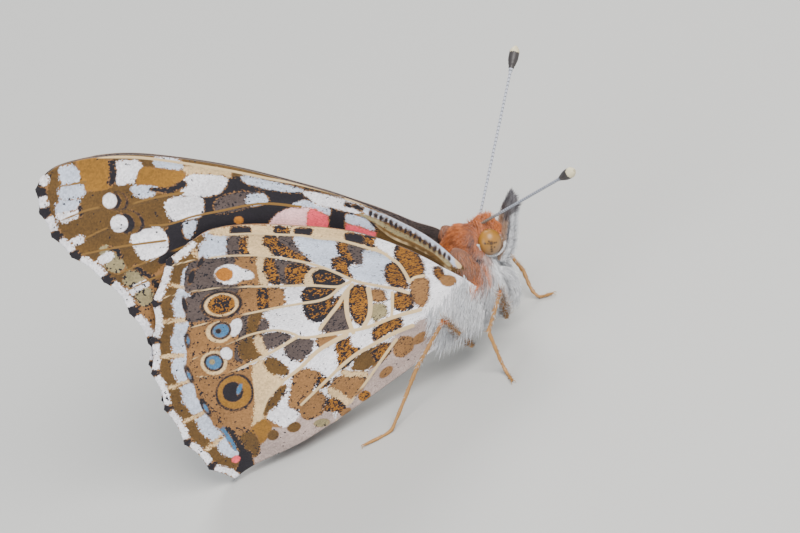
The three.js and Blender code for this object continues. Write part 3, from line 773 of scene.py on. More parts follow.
grain_group, given, results = node_group(
    "grain", {"Scale": "NodeSocketFloat", "Strength": "NodeSocketFloat", "Depth": "NodeSocketFloat"},
    {"Fac": "NodeSocketFloat", "Normal": "NodeSocketVector"})
where = node(grain_group, "ShaderNodeTexCoord").outputs["Object"]
clouds = node(grain_group, "ShaderNodeTexNoise",
              {"Vector": where, "Scale": given["Scale"], "Detail": 3.0}).outputs["Fac"]
relief = node(grain_group, "ShaderNodeBump", {"Height": clouds, "Strength": given["Strength"],
                                              "Distance": given["Depth"]}).outputs[0]
grain_group.links.new(clouds, results["Fac"])
grain_group.links.new(relief, results["Normal"])


def toned(tree, colour, tone):
    made = node(tree, "ShaderNodeGroup", {"Color": colour, "Tone": tone}, node_tree=toned_group)
    return made.outputs["Color"]


def grained(tree, shader, scale, strength, depth):
    """Roughens the surface with the grain, and gives its clouds."""
    made = node(tree, "ShaderNodeGroup", {"Scale": scale, "Strength": strength, "Depth": depth},
                node_tree=grain_group)
    tree.links.new(made.outputs["Normal"], shader.inputs["Normal"])
    return made.outputs["Fac"]


wing_material, tree, shader = new_material("wing_scales")
lay = kept(tree, "lay", "Vector")
cell = node(tree, "ShaderNodeTexVoronoi", {"Vector": lay, "Scale": SCALES_PER_MM}, feature="F1")
edge_chance, black_chance, tone_chance = split(tree, cell.outputs["Color"])
cloud = node(tree, "ShaderNodeTexNoise", {"Vector": lay, "Scale": 3.0, "Detail": 2.0}).outputs["Fac"]
drift = node(tree, "ShaderNodeTexNoise", {"Vector": lay, "Scale": 0.7, "Detail": 3.0}).outputs["Fac"]
from_vein, cream_share, crisp = split(tree, kept(tree, "veining", "Vector"))
ragged = scaled_by(tree, edge_chance, RAGGED, -0.45 * RAGGED)
ragged = math_node(tree, "MULTIPLY", ragged, scaled_by(tree, crisp, -0.75, 1.0))
depths = {}
for start in range(0, len(SCALE_ORDER), 3):
    packed = kept(tree, f"scales_{start // 3}", "Vector")
    depths.update(zip(SCALE_ORDER[start:start + 3], split(tree, packed)))
colour = (*SCALES["tan"], 1)
for name in SCALE_ORDER:
    shown = node(tree, "ShaderNodeMapRange",
                 {0: math_node(tree, "ADD", depths[name], ragged), 1: -0.04, 2: 0.04}).outputs[0]
    colour = mix_colour(tree, shown, colour, (*SCALES[name], 1))
tone = scaled_by(tree, tone_chance, 0.36, scaled_by(tree, drift, 0.7, 0.47))
colour = toned(tree, colour, tone)
stray = kept(tree, "stray")
luck = scaled_by(tree, cloud, 0.8, scaled_by(tree, black_chance, 0.8, -0.3))
colour = mix_colour(tree, math_node(tree, "LESS_THAN", luck, stray), colour, (*SCALES["black"], 1))
on_vein = node(tree, "ShaderNodeMapRange", {0: from_vein, 1: -0.01, 2: 0.04, 3: 1.0, 4: 0.0}).outputs[0]
vein_colour = mix_colour(tree, cream_share, VEIN_OCHRE, VEIN_CREAM)
on_vein = math_node(tree, "MULTIPLY", on_vein, math_node(tree, "SUBTRACT", 1.0, crisp))
colour = mix_colour(tree, on_vein, colour, vein_colour)
surface(tree, shader, colour, {"Roughness": 0.72, "Specular IOR Level": 0.25, "Sheen Weight": 0.15})
bump = node(tree, "ShaderNodeBump",
            {"Height": cell.outputs["Distance"], "Strength": 0.35, "Distance": SCALE_RELIEF})
tree.links.new(bump.outputs[0], shader.inputs["Normal"])


def mesh_object(name, points, faces, material):
    mesh = bpy.data.meshes.new(name)
    mesh.from_pydata(np.asarray(points).tolist(), [], faces if isinstance(faces, list) else faces.tolist())
    mesh.materials.append(material)
    mesh.polygons.foreach_set("use_smooth", [True] * len(mesh.polygons))
    mesh.update()
    made = bpy.data.objects.new(name, mesh)
    bpy.context.scene.collection.objects.link(made)
    return made


def attribute(made, name, values):
    """Keeps one number or, from rows of three, one vector for every point of the mesh."""
    values = np.asarray(values, np.float32)
    single = values.ndim == 1
    made_attribute = made.data.attributes.new(name, "FLOAT" if single else "FLOAT_VECTOR", "POINT")
    made_attribute.data.foreach_set("value" if single else "vector", values.ravel())


def grid_faces(rows, columns, closed=False):
    """Quads over a grid of points, row by row; closed joins the last column to the first."""
    r = np.arange(rows - 1)[:, None]
    c = np.arange(columns if closed else columns - 1)[None, :]
    next_c = (c + 1) % columns
    here, below = r * columns, (r + 1) * columns
    return np.stack([here + c, below + c, below + next_c, here + next_c], axis=-1).reshape(-1, 4)


def build_wing(name, hand, outline, side_at, rest_at, vein_ends, depth, underside, upperside):
    sheet = wing_sheet(outline, vein_ends, depth)
    under, over = underside(*sheet), upperside(*sheet)
    flat, rim = sheet[:2]
    b, u = flat.T
    middle = rest_at(b, u)
    lower = SIGHT_SLOPE * (side_at(b, u) + OUT_OF_MIDDLE - middle)
    away = np.maximum(under.veins, 0)
    ridge = 0.05 * np.exp(-(away / 0.13) ** 2) + 0.05 * np.exp(-away / 0.7)
    thick = MEMBRANE * (0.2 + 0.8 * (1 - fade(rim, 0.1, 1.2)))
    outside = np.stack([-b, hand * (middle + ridge), u - lower], axis=1)
    inside = np.stack([-b, hand * (middle + ridge - thick), u - lower], axis=1)
    rows, columns = GRID_ALONG + 1, GRID_ACROSS + 1
    quads = grid_faces(rows, columns)
    count = rows * columns
    index = np.arange(count).reshape(rows, columns)
    loop = np.r_[index[:-1, 0], index[-1, :-1], index[:0:-1, -1], index[0, :0:-1]]
    after = np.roll(loop, -1)
    edge = np.stack([loop, loop + count, after + count, after], axis=1)
    faces = np.vstack([quads[:, ::-1], quads + count, edge[:, ::-1]]) if hand > 0 else \
        np.vstack([quads, quads[:, ::-1] + count, edge])
    made = mesh_object(name, metres(np.vstack([outside, inside])), faces, wing_material)
    values = {key: np.clip(np.r_[under.depth[key], over.depth[key]], -0.4, 0.4) for key in SCALE_ORDER}
    for start in range(0, len(SCALE_ORDER), 3):
        trio = [values[key] for key in SCALE_ORDER[start:start + 3]]
        attribute(made, f"scales_{start // 3}", np.stack(trio, axis=1))
    attribute(made, "stray", np.r_[under.stray, over.stray])
    veining = [np.minimum(np.r_[under.veins, over.veins], 0.5), np.r_[under.vein_cream, over.vein_cream]]
    attribute(made, "veining", np.stack([*veining, np.r_[under.crisp, over.crisp]], axis=1))
    reach, angle = np.hypot(b + 1, u), np.arctan2(u, b + 1)
    rows_of_scales = np.stack([reach * 0.62, angle * 13.0, np.zeros(count)], axis=1)
    attribute(made, "lay", np.vstack([rows_of_scales, rows_of_scales + [50, 0, 0]]))
    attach(made, "root")
    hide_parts(name)


for side_name, hand in SIDES.items():
    build_wing(f"forewing_{side_name}", hand, FOREWING, forewing_side, forewing_rest, FOREWING_VEIN_ENDS,
               FOREWING_SCALLOP, forewing_underside, forewing_upperside)
    build_wing(f"hindwing_{side_name}", hand, HINDWING, hindwing_side, hindwing_rest, HINDWING_VEIN_ENDS,
               HINDWING_SCALLOP, hindwing_underside, hindwing_upperside)

# The trunk: head, chest and abdomen in one horny skin, hidden under fur and scales. It lies inside the
# solids by the depth of the coat. Each section is [top x, top z, bottom x, bottom z, half width], from the
# tail to the face.

SKIN_DEPTH = 0.22
TRUNK = [
    (-14.85, -4.95, -14.85, -5.3, 0.2), (-14.4, -4.5, -14.4, -5.7, 0.6), (-13.4, -3.95, -13.4, -6.05, 1.0),
    (-12.0, -3.4, -12.0, -6.25, 1.35), (-10.2, -2.95, -10.2, -6.3, 1.6), (-8.4, -2.6, -8.4, -6.2, 1.72),
    (-6.6, -2.35, -6.6, -5.95, 1.72), (-5.0, -2.3, -5.0, -5.6, 1.55), (-4.0, -2.5, -4.0, -5.2, 1.3),
    (-3.4, -2.3, -3.45, -4.9, 1.2), (-3.0, -1.8, -3.1, -5.1, 1.45), (-2.2, -0.75, -2.35, -5.75, 1.85),
    (-1.15, 0.35, -1.1, -6.0, 2.15), (-0.15, 1.05, 0.05, -5.85, 2.25), (0.65, 1.4, 1.05, -5.35, 2.1),
    (1.15, 1.4, 1.65, -4.5, 1.75), (1.5, 1.3, 1.95, -3.2, 1.3), (1.8, 1.3, 2.15, -2.0, 1.1),
    (2.2, 1.4, 2.4, -1.65, 1.1), (2.75, 1.35, 2.8, -1.5, 1.1), (3.2, 0.95, 3.15, -1.2, 0.9),
    (3.42, 0.4, 3.4, -0.7, 0.5), (3.5, 0.0, 3.48, -0.35, 0.2),
]
TRUNK_ROWS = 240
TRUNK_SIDES = 112
ABDOMEN_RINGS = 8

sections = smooth_line(np.array(TRUNK), TRUNK_ROWS - 1)
turn_round = np.linspace(0, 2 * np.pi, TRUNK_SIDES, endpoint=False)


def trunk_places(row, angle, lift=0.0):
    """Points of the skin: row from 0 at the tail to 1 at the face, angle from 0 on the back to the left."""
    stops = np.linspace(0, 1, TRUNK_ROWS)
    top_x, top_z, bottom_x, bottom_z, half = (np.interp(row, stops, sections[:, k]) for k in range(5))
    centre_x, centre_z = (top_x + bottom_x) / 2, (top_z + bottom_z) / 2
    height = np.hypot(top_x - bottom_x, top_z - bottom_z) / 2
    lean_x, lean_z = (top_x - bottom_x) / 2 / height, (top_z - bottom_z) / 2 / height
    depth = np.minimum(SKIN_DEPTH, 0.5 * half) - lift
    high = (height - depth) * np.cos(angle)
    wide = (half - depth) * np.sin(angle)
    return np.stack([centre_x + lean_x * high, wide, centre_z + lean_z * high], axis=-1)


def trunk_frame(row, angle):
    """Outward normal, and the direction towards the tail, of the skin."""
    here = trunk_places(row, angle)
    ahead = trunk_places(np.clip(row + 0.004, 0, 1), angle) - trunk_places(np.clip(row - 0.004, 0, 1), angle)
    round_it = trunk_places(row, angle + 0.02) - here
    outward = unit(np.cross(round_it, ahead))
    centre = (trunk_places(row, np.zeros_like(row)) + trunk_places(row, np.full_like(row, np.pi))) / 2
    outward *= np.sign(np.sum(outward * (here - centre), axis=-1, keepdims=True) + 1e-9)
    return outward, -unit(ahead)


def unit(vectors):
    return vectors / np.maximum(np.linalg.norm(vectors, axis=-1, keepdims=True), 1e-9)


def ramp(value, start, end):
    t = np.clip((value - start) / (end - start), 0, 1)
    return t * t * (3 - 2 * t)


def trunk_colours(p):
    """Shares of rust, dark and tan in the coat at places p. What is left is silvery white."""
    x, y, z = p[..., 0], np.abs(p[..., 1]), p[..., 2]
    on_head = ramp(x, 1.25, 1.6)
    shoulder = ramp(z + 0.35 * y, -1.3, -0.7) * ramp(x, -3.6, -2.2) * (1 - on_head)
    crown = on_head * ramp(z + 0.5 * np.abs(x - 2.3), -0.05, 0.35)
    collar = np.exp(-((x - 1.32 - 0.26 * z) / 0.16) ** 2)
    collar *= ramp(z, -2.6, -1.6) * fade(z, -0.3, 0.5) * ramp(y, 0.4, 0.9)
    behind_eye = on_head * fade(x, 1.6, 1.9) * ramp(z, -1.5, -0.8)
    rust = np.maximum(np.minimum(shoulder + crown, 1) * (1 - 0.5 * collar), 0.55 * behind_eye)
    eye_rim = np.exp(-((np.hypot(x - 2.25, z + 0.02) - 1.12) / 0.10) ** 2)
    eye_rim *= ramp(y, 0.3, 0.8) * ramp(-x, -2.0, -1.6) * ramp(z, -0.8, -0.4)
    ring = 0.5 + 0.5 * np.sin(2 * np.pi * (x + 14.8) / 11.2 * ABDOMEN_RINGS)
    upper = ramp(z, -4.9, -4.0) * ramp(-x, 3.3, 4.2)
    dark = np.clip(0.4 * collar + 0.35 * behind_eye + 0.8 * eye_rim + upper * (0.35 + 0.45 * ring), 0, 1)
    tan = np.clip(upper * (1 - 0.7 * ring) + 0.35 * ramp(-z, 5.0, 5.8) * ramp(-x, 3.3, 4.2), 0, 1)
    return np.stack([rust, dark, tan], axis=-1)


# One material for the skin and all of its coat: silvery white, rust, dark and tan hairs mixed by the shares
# that each place has. Every hair has a tone of its own and is darker at its root.

HAIR = {"silver": (0.78, 0.79, 0.82), "rust": (0.62, 0.175, 0.04), "dark": (0.05, 0.04, 0.05),
        "tan": (0.45, 0.24, 0.09)}

coat_material, tree, shader = new_material("coat")
rust_share, dark_share, tan_share = split(tree, kept(tree, "shares", "Vector"))
hair_tone, hair_height, _ = split(tree, kept(tree, "hair", "Vector"))
fluff = grained(tree, shader, 2600.0, 0.5, 0.00006)
colour = (*HAIR["silver"], 1)
for share, name in ((rust_share, "rust"), (tan_share, "tan"), (dark_share, "dark")):
    colour = mix_colour(tree, share, colour, (*HAIR[name], 1))
tone = scaled_by(tree, hair_tone, 0.5, scaled_by(tree, fluff, 0.3, 0.52))
tone = math_node(tree, "MULTIPLY", tone, scaled_by(tree, hair_height, 0.42, 0.66))
surface(tree, shader, toned(tree, colour, tone),
        {"Roughness": 0.62, "Specular IOR Level": 0.3, "Sheen Weight": 0.25})

row_grid, angle_grid = np.meshgrid(np.linspace(0, 1, TRUNK_ROWS), turn_round, indexing="ij")
skin_points = trunk_places(row_grid.ravel(), angle_grid.ravel())
tail_point, face_point = skin_points[:TRUNK_SIDES].mean(0), skin_points[-TRUNK_SIDES:].mean(0)
skin_faces = grid_faces(TRUNK_ROWS, TRUNK_SIDES, closed=True)[:, ::-1].tolist()
last_row = (TRUNK_ROWS - 1) * TRUNK_SIDES
for side in range(TRUNK_SIDES):
    after = (side + 1) % TRUNK_SIDES
    skin_faces.append([side, after, len(skin_points)])
    skin_faces.append([last_row + after, last_row + side, len(skin_points) + 1])
skin_points = np.vstack([skin_points, tail_point, face_point])
trunk = mesh_object("trunk_skin", metres(skin_points), skin_faces, coat_material)
attribute(trunk, "shares", trunk_colours(skin_points))
attribute(trunk, "hair", np.tile([0.1, 0.0, 0.0], (len(skin_points), 1)))
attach(trunk, "root")
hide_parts("thorax", "abdomen", "head")

# The coat: tufts of hair in thin tapering locks that bend with the lie of the fur. The lock's root sits in
# the skin.

TUFT_STEPS = 4
UV_PATCH = 0.003  # the part of the map that one lock takes
FLOOR_GAP = 0.02  # mm, the least height of a lock
FULL_TURN = 6.3  # a little over a turn, so that a share of it stays below 1


def tufts(name, roots, direction, outward, length, width, shares, tone, root_uv, curl=0.5, flat=0.6):
    """Locks with a three-cornered section, that start between outward and direction and bend to direction."""
    count = len(roots)
    length = np.broadcast_to(length, count)
    width = np.broadcast_to(width, count)
    t = np.linspace(0, 1, TUFT_STEPS + 1)[:-1]
    across = unit(np.cross(outward, direction))
    rise = unit(np.cross(direction, across))
    rise *= np.sign(np.sum(rise * outward, axis=1, keepdims=True) + 1e-9)
    stand = curl * (t - 0.75 * t ** 2)
    spine = roots[:, None] + length[:, None, None] * (t[None, :, None] * direction[:, None]
                                                      + stand[None, :, None] * rise[:, None])
    corners = []
    for corner in range(3):
        angle = 2 * np.pi * corner / 3 + np.pi / 2
        radius = width[:, None, None] * (1 - 0.75 * t[None, :, None] ** 1.5)
        off = math.cos(angle) * across[:, None] + flat * math.sin(angle) * rise[:, None]
        corners.append(spine + radius * off)
    body = np.stack(corners, axis=2).reshape(count, -1, 3)
    tip = roots + length[:, None] * (direction + 0.25 * curl * rise)
    points = np.concatenate([body, tip[:, None]], axis=1)
    points[..., 2] = np.maximum(points[..., 2], FLOOR_GAP - HINGE[2])
    per = points.shape[1]
    single = [(2, 1, 0)]
    for step in range(TUFT_STEPS - 1):
        for corner in range(3):
            a, b = 3 * step + corner, 3 * step + (corner + 1) % 3
            single += [(a, b, b + 3), (a, b + 3, a + 3)]
    for corner in range(3):
        single.append((3 * TUFT_STEPS - 3 + corner, 3 * TUFT_STEPS - 3 + (corner + 1) % 3, per - 1))
    faces = (np.arange(count)[:, None, None] * per + np.array(single)[None]).reshape(-1, 3)
    made = mesh_object(name, metres(points.reshape(-1, 3)), faces, coat_material)
    attribute(made, "shares", np.repeat(shares, per, axis=0))
    height = np.tile(np.r_[np.repeat(t, 3), 1.0], count)
    attribute(made, "hair", np.stack([np.repeat(tone, per), height, 0 * height], axis=1))
    sideways = np.tile([*([-0.5, 0.0, 0.5] * TUFT_STEPS), 0.0], count)
    offset = np.stack([sideways, height - 0.5], axis=1) * UV_PATCH
    uv = np.repeat(np.clip(root_uv, 0.005, 0.995), per, axis=0) + offset
    layer = made.data.uv_layers.new(name="OFBake")
    layer.data.foreach_set("uv", uv[faces.ravel()].astype(np.float32).ravel())
    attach(made, "root")


def coat(name, count, seed, keep, lie, length, width, curl=0.5, jitter=0.22):
    """Tufts strewn evenly over the part of the trunk that keep() accepts."""
    random = np.random.default_rng(seed)
    row, angle = random.random(count * 40), random.random(count * 40) * 2 * np.pi
    p = trunk_places(row, angle)
    stops = np.linspace(0, 1, TRUNK_ROWS)
    half = np.interp(row, stops, sections[:, 4])
    heights = np.hypot(sections[:, 0] - sections[:, 2], sections[:, 1] - sections[:, 3])
    tall = np.interp(row, stops, heights) / 2
    girth = np.sqrt((half * np.cos(angle)) ** 2 + (tall * np.sin(angle)) ** 2)
    chosen = np.flatnonzero((random.random(len(row)) < girth / 3.2) & keep(p, row, angle))[:count]
    row, angle, p = row[chosen], angle[chosen], p[chosen]
    outward, tailward = trunk_frame(row, angle)
    direction = lie(p, outward, tailward) + random.normal(0, jitter, p.shape)
    direction -= 0.9 * np.sum(direction * outward, axis=1, keepdims=True) * outward
    direction = unit(direction)
    long = length(p) * random.uniform(0.7, 1.2, len(p))
    tufts(name, p - 0.05 * outward, direction, outward, long, width, trunk_colours(p),
          random.random(len(p)), np.stack([row, angle / (2 * np.pi)], axis=1), curl)


def down_and_back(p, outward, tailward):
    low = ramp(-p[:, 2], 2.2, 5.0)[:, None]
    return tailward * (0.9 - 0.2 * low) + np.array([0, 0, -1.0]) * (0.35 + 0.85 * low)


# Long silky hair on the breast and the sides of the chest, sweeping back and down
coat("chest_hair", 8800, 11, lambda p, row, angle: (p[:, 0] > -3.5) & (p[:, 0] < 2.1) & (p[:, 2] < -1.2),
     down_and_back, lambda p: 1.25 + 0.8 * ramp(np.abs(p[:, 1]), 1.2, 2.0) * ramp(p[:, 2], -4.5, -2.5), 0.03,
     curl=0.55, jitter=0.15)

# Upright rust-coloured fur on the back of the chest, and over the shoulders
coat("back_fur", 7500, 12, lambda p, row, angle: (p[:, 0] > -3.4) & (p[:, 0] < 1.75) & (p[:, 2] > -1.9),
     lambda p, outward, tailward: tailward + 0.3 * outward,
     lambda p: 0.65 + 0.35 * ramp(p[:, 2], -0.6, 0.5), 0.03, curl=1.0)

# The head's short dense fur leans up and forward between the feelers and lies back on the neck
def up_and_forward(p, outward, tailward):
    ahead = 0.5 - 0.8 * ramp(-p[:, 0], -2.6, -1.5)
    upper = np.stack([ahead, 0 * ahead, 0.9 + 0 * ahead], axis=1) * ramp(p[:, 2], -0.6, 0.2)[:, None]
    return upper + np.array([0.2, 0, -0.6]) * ramp(-p[:, 2], -0.2, 0.6)[:, None]


coat("head_fur", 6500, 13, lambda p, row, angle: p[:, 0] > 1.45, up_and_forward,
     lambda p: 0.30 + 0.42 * ramp(p[:, 2], 0.3, 1.0) * fade(np.abs(p[:, 1]), 0.3, 1.0), 0.03, curl=1.0)

# Scales and short hair on the abdomen, lying flat towards the tail
coat("abdomen_fur", 5200, 14, lambda p, row, angle: p[:, 0] < -3.3,
     lambda p, outward, tailward: tailward, lambda p: 0.55 + 0 * p[:, 0], 0.045, curl=0.25)

# Shoulder flaps: on each side of the chest a thin, leaf-shaped plate of horn is hinged over the wing roots.
# It is covered with rust and greyish hair that hangs down.


def ball_grid(rows, sides):
    """Angles from pole to pole and round about, for every point of a ball."""
    round_about = np.linspace(0, 2 * np.pi, sides, endpoint=False)
    return np.meshgrid(np.linspace(0, np.pi, rows), round_about, indexing="ij")


def sided(faces, hand):
    """The faces, turned over on the right, where the shape is mirrored."""
    return faces[:, ::-1] if hand < 0 else faces


FLAP = {"centre": (0.15, 1.9, -0.15), "long": 2.9, "wide": 1.25, "thick": 0.5, "lean": -0.16}
FLAP_TUFTS = 2000
FLAP_ROWS, FLAP_SIDES = 40, 48
for side_name, hand in SIDES.items():
    random = np.random.default_rng(16)
    pole, round_it = ball_grid(FLAP_ROWS, FLAP_SIDES)
    strewn_pole = np.arccos(random.uniform(-1, 1, FLAP_TUFTS))
    strewn_round = random.uniform(0, 2 * np.pi, FLAP_TUFTS)

    def flap_places(pole, round_it, hand=hand):
        z = np.cos(pole) * FLAP["long"] / 2
        x = np.sin(pole) * np.cos(round_it) * FLAP["wide"] / 2 + FLAP["lean"] * z
        y = np.sin(pole) * np.sin(round_it) * FLAP["thick"] / 2 - 0.12 * z
        cx, cy, cz = FLAP["centre"]
        return np.stack([cx + x, hand * (cy + y), cz + z], axis=-1)

    points = flap_places(pole.ravel(), round_it.ravel())
    faces = sided(grid_faces(FLAP_ROWS, FLAP_SIDES, closed=True), hand)
    made = mesh_object(f"shoulder_flap_{side_name}", metres(points), faces, coat_material)
    attribute(made, "shares", np.tile([0.9, 0.55, 0.2], (len(points), 1)))
    attribute(made, "hair", np.tile([0.1, 0.0, 0.0], (len(points), 1)))
    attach(made, "root")
    roots = flap_places(strewn_pole, strewn_round)
    outward = unit((roots - (np.array(FLAP["centre"]) * (1, hand, 1))) * (1.5, 6.0, 0.4))
    lie = unit(np.array([-0.35, 0, -1.0]) + random.normal(0, 0.16, roots.shape))
    edge_on = np.clip(random.random(FLAP_TUFTS) * 1.6 - 0.75, 0, 1)
    shares = np.stack([0.97 - 0.3 * edge_on, 0.3 + 0.3 * edge_on, 0.15 + 0.3 * edge_on], axis=1)
    places = np.stack([strewn_pole / np.pi, strewn_round / FULL_TURN], axis=1)
    tufts(f"shoulder_fur_{side_name}", roots, lie, outward, random.uniform(0.5, 1.0, FLAP_TUFTS), 0.026,
          shares, random.random(FLAP_TUFTS), places, 0.4)


# Long hair: white on the roots of the hind wings, where it hangs down and back over them. More of it stands
# off the flanks, and hangs from the breast in front as a ruff.

ROOT_HAIRS = 1900
ROOT_HAIR_PATCH = {"back": (0.3, 3.6), "up": (-3.7, -0.1)}
for side_name, hand in SIDES.items():
    random = np.random.default_rng(17)
    share = random.random((ROOT_HAIRS, 2))
    b = ROOT_HAIR_PATCH["back"][0] + share[:, 0] ** 1.4 * np.ptp(ROOT_HAIR_PATCH["back"])
    u = ROOT_HAIR_PATCH["up"][0] + share[:, 1] * np.ptp(ROOT_HAIR_PATCH["up"])
    u = np.minimum(u, -0.75 - 0.28 * b + 0.9 * random.random(ROOT_HAIRS))
    middle = hindwing_rest(b, u)
    lower = SIGHT_SLOPE * (hindwing_side(b, u) + OUT_OF_MIDDLE - middle)
    roots = np.stack([-b, hand * (middle - 0.05), u - lower], axis=1)
    outward = np.tile([0.0, hand, 0.0], (ROOT_HAIRS, 1))
    lie = unit(np.array([-0.75, 0.14 * hand, -0.8]) + random.normal(0, 0.13, roots.shape))
    white = np.zeros((ROOT_HAIRS, 3))
    white[:, 1] = 0.35 * (random.random(ROOT_HAIRS) < 0.12)
    tufts(f"wing_root_hair_{side_name}", roots, lie, outward,
          (0.45 + 1.35 * ramp(-u, 0.3, 2.2)) * random.uniform(0.75, 1.15, ROOT_HAIRS), 0.026, white,
          random.random(ROOT_HAIRS), share, 0.35)

coat("flank_hair", 1500, 19, lambda p, row, angle: (p[:, 0] > -0.7) & (p[:, 0] < 1.0) & (p[:, 2] < -0.9)
     & (p[:, 2] > -3.8) & (np.abs(p[:, 1]) > 1.5),
     lambda p, outward, tailward: np.array([-0.7, 0, -0.7]) + 0.9 * outward,
     lambda p: 1.1 + 0.5 * ramp(-p[:, 2], 1.0, 2.5), 0.028, curl=1.1, jitter=0.14)
coat("breast_ruff", 2600, 18, lambda p, row, angle: (p[:, 0] > 0.2) & (p[:, 0] < 2.3) & (p[:, 2] < -1.7),
     lambda p, outward, tailward: np.array([-0.05, 0, -1.0]) + 0.3 * outward,
     lambda p: 1.3 - 0.4 * ramp(-p[:, 2], 3.5, 5.5), 0.03, curl=0.35, jitter=0.1)

# Eyes: two large, smooth, ochre domes of many tiny facets, set in the sides of the head. Dark flecks show
# where the facets look straight at the viewer.

EYE = {"x": 2.3, "y": 1.14, "z": 0.02, "length": 1.62, "width": 1.46, "height": 1.9, "lean": 0.3}
EYE_COLOURS = {"below": (0.25, 0.155, 0.075, 1), "above": (0.33, 0.145, 0.012, 1),
               "clouds": (0.22, 0.10, 0.02, 1), "flecks": (0.03, 0.015, 0.008, 1)}
FACETS_PER_METRE = 16000.0
FACET_RELIEF = 0.02 * MM

eye_material, tree, shader = new_material("eye")
where = node(tree, "ShaderNodeTexCoord").outputs["Object"]
facet = node(tree, "ShaderNodeTexVoronoi", {"Vector": where, "Scale": FACETS_PER_METRE}, feature="F1")
cloud = node(tree, "ShaderNodeTexNoise", {"Vector": where, "Scale": 1500.0, "Detail": 2.0}).outputs["Fac"]
height = kept(tree, "height")
flecks = kept(tree, "flecks")
colour = mix_colour(tree, height, EYE_COLOURS["below"], EYE_COLOURS["above"])
colour = mix_colour(tree, math_node(tree, "MULTIPLY", cloud, 0.55), colour, EYE_COLOURS["clouds"])
colour = mix_colour(tree, flecks, colour, EYE_COLOURS["flecks"])
surface(tree, shader, colour, {"Roughness": 0.45, "Coat Weight": 0.15, "Coat Roughness": 0.25})
bump = node(tree, "ShaderNodeBump",
            {"Height": facet.outputs["Distance"], "Strength": 0.15, "Distance": FACET_RELIEF})
tree.links.new(bump.outputs[0], shader.inputs["Normal"])

EYE_ROWS = 64
EYE_SIDES = 96
# For each fleck, x and z from the eye's middle, and its radius
FLECKS = [(0.06, 0.26, 0.16), (-0.02, 0.44, 0.08), (-0.32, 0.40, 0.09), (-0.16, 0.33, 0.07),
          (0.26, 0.16, 0.08), (0.38, 0.10, 0.07), (-0.05, 0.02, 0.08),
          (-0.12, -0.16, 0.10), (-0.17, -0.34, 0.09), (0.12, -0.12, 0.07)]


def eye(side_name, hand):
    pole, round_it = ball_grid(EYE_ROWS, EYE_SIDES)
    ball = np.stack([np.sin(pole) * np.cos(round_it), np.cos(pole), np.sin(pole) * np.sin(round_it)], axis=-1)
    ball = ball.reshape(-1, 3) * np.array([EYE["length"], EYE["width"], EYE["height"]]) / 2
    turn = EYE["lean"]
    x = ball[:, 0] * math.cos(turn) + ball[:, 2] * math.sin(turn)
    z = ball[:, 2] * math.cos(turn) - ball[:, 0] * math.sin(turn)
    points = np.stack([EYE["x"] + x, hand * (EYE["y"] + ball[:, 1]), EYE["z"] + z], axis=1)
    faces = sided(grid_faces(EYE_ROWS, EYE_SIDES, closed=True), hand)
    made = mesh_object(f"eye_{side_name}_look", metres(points), faces, eye_material)
    dark = np.zeros(len(points))
    for fx, fz, radius in FLECKS:
        dark = np.maximum(dark, 0.9 * fade(np.hypot(x - fx, z - fz), 0.4 * radius, 1.5 * radius))
    attribute(made, "flecks", dark * (ball[:, 1] > 0))
    attribute(made, "height", ramp(z, -0.6, 0.5))
    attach(made, "root")
    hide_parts(f"eye_{side_name}")


for side_name, hand in SIDES.items():
    eye(side_name, hand)

# A ring of short white scales frames the back and the bottom of each eye.

EYE_RING_TUFTS = 420
for side_name, hand in SIDES.items():
    random = np.random.default_rng(21)
    bearing = random.uniform(math.radians(160), math.radians(335), EYE_RING_TUFTS)
    away = random.uniform(1.0, 1.16, EYE_RING_TUFTS)
    x = EYE["x"] + away * (EYE["length"] / 2 * np.cos(bearing) + 0.06)
    z = EYE["z"] + away * EYE["height"] / 2 * np.sin(bearing)
    y = hand * (EYE["y"] + 0.22 - 1.2 * (away - 1.0))
    radial = np.stack([np.cos(bearing), 0 * bearing, np.sin(bearing)], axis=1)
    outward = np.tile([0.0, hand, 0.0], (EYE_RING_TUFTS, 1))
    along = unit(radial + 0.5 * outward + random.normal(0, 0.12, radial.shape))
    white = np.zeros((EYE_RING_TUFTS, 3))
    white[:, 1] = 0.7 * (away > 1.12) * (np.degrees(bearing) < 250)
    places = np.stack([np.full(EYE_RING_TUFTS, 0.5), bearing / 7], axis=1)
    tufts(f"eye_ring_{side_name}", np.stack([x, y, z], axis=1), along, outward, 0.14, 0.032, white,
          random.uniform(0.3, 1, EYE_RING_TUFTS), places, 0.2)


# Limbs are horny tubes. Each is swept along a smooth line, with a radius for every point of it.

TUBE_SIDES = 20


def tube(name, line, radii, material, sides=TUBE_SIDES):
    line, radii = np.asarray(line, float), np.asarray(radii, float)
    ahead = unit(np.gradient(line, axis=0))
    up_hint = np.array([0.0, 1.0, 0.0]) if abs(ahead[:, 1]).mean() < 0.8 else np.array([0.0, 0.0, 1.0])
    side = unit(np.cross(ahead, up_hint))
    top = np.cross(side, ahead)
    angle = np.linspace(0, 2 * np.pi, sides, endpoint=False)[None, :, None]
    outward = np.cos(angle) * side[:, None] + np.sin(angle) * top[:, None]
    rings = line[:, None] + radii[:, None, None] * outward
    points = np.vstack([rings.reshape(-1, 3), line[:1], line[-1:]])
    count = len(line) * sides
    faces = grid_faces(len(line), sides, closed=True).tolist()
    for k in range(sides):
        after = (k + 1) % sides
        faces.append([after, k, count])
        faces.append([count - sides + k, count - sides + after, count + 1])
    made = mesh_object(name, metres(points), faces, material)
    attribute(made, "along", np.r_[np.repeat(np.linspace(0, 1, len(line)), sides), 0, 1])
    attribute(made, "round", np.r_[np.tile(angle.ravel(), len(line)), 0, 0])
    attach(made, "root")
    return made


ROOT_DEPTH = 0.9  # of the radius, where a hair is rooted


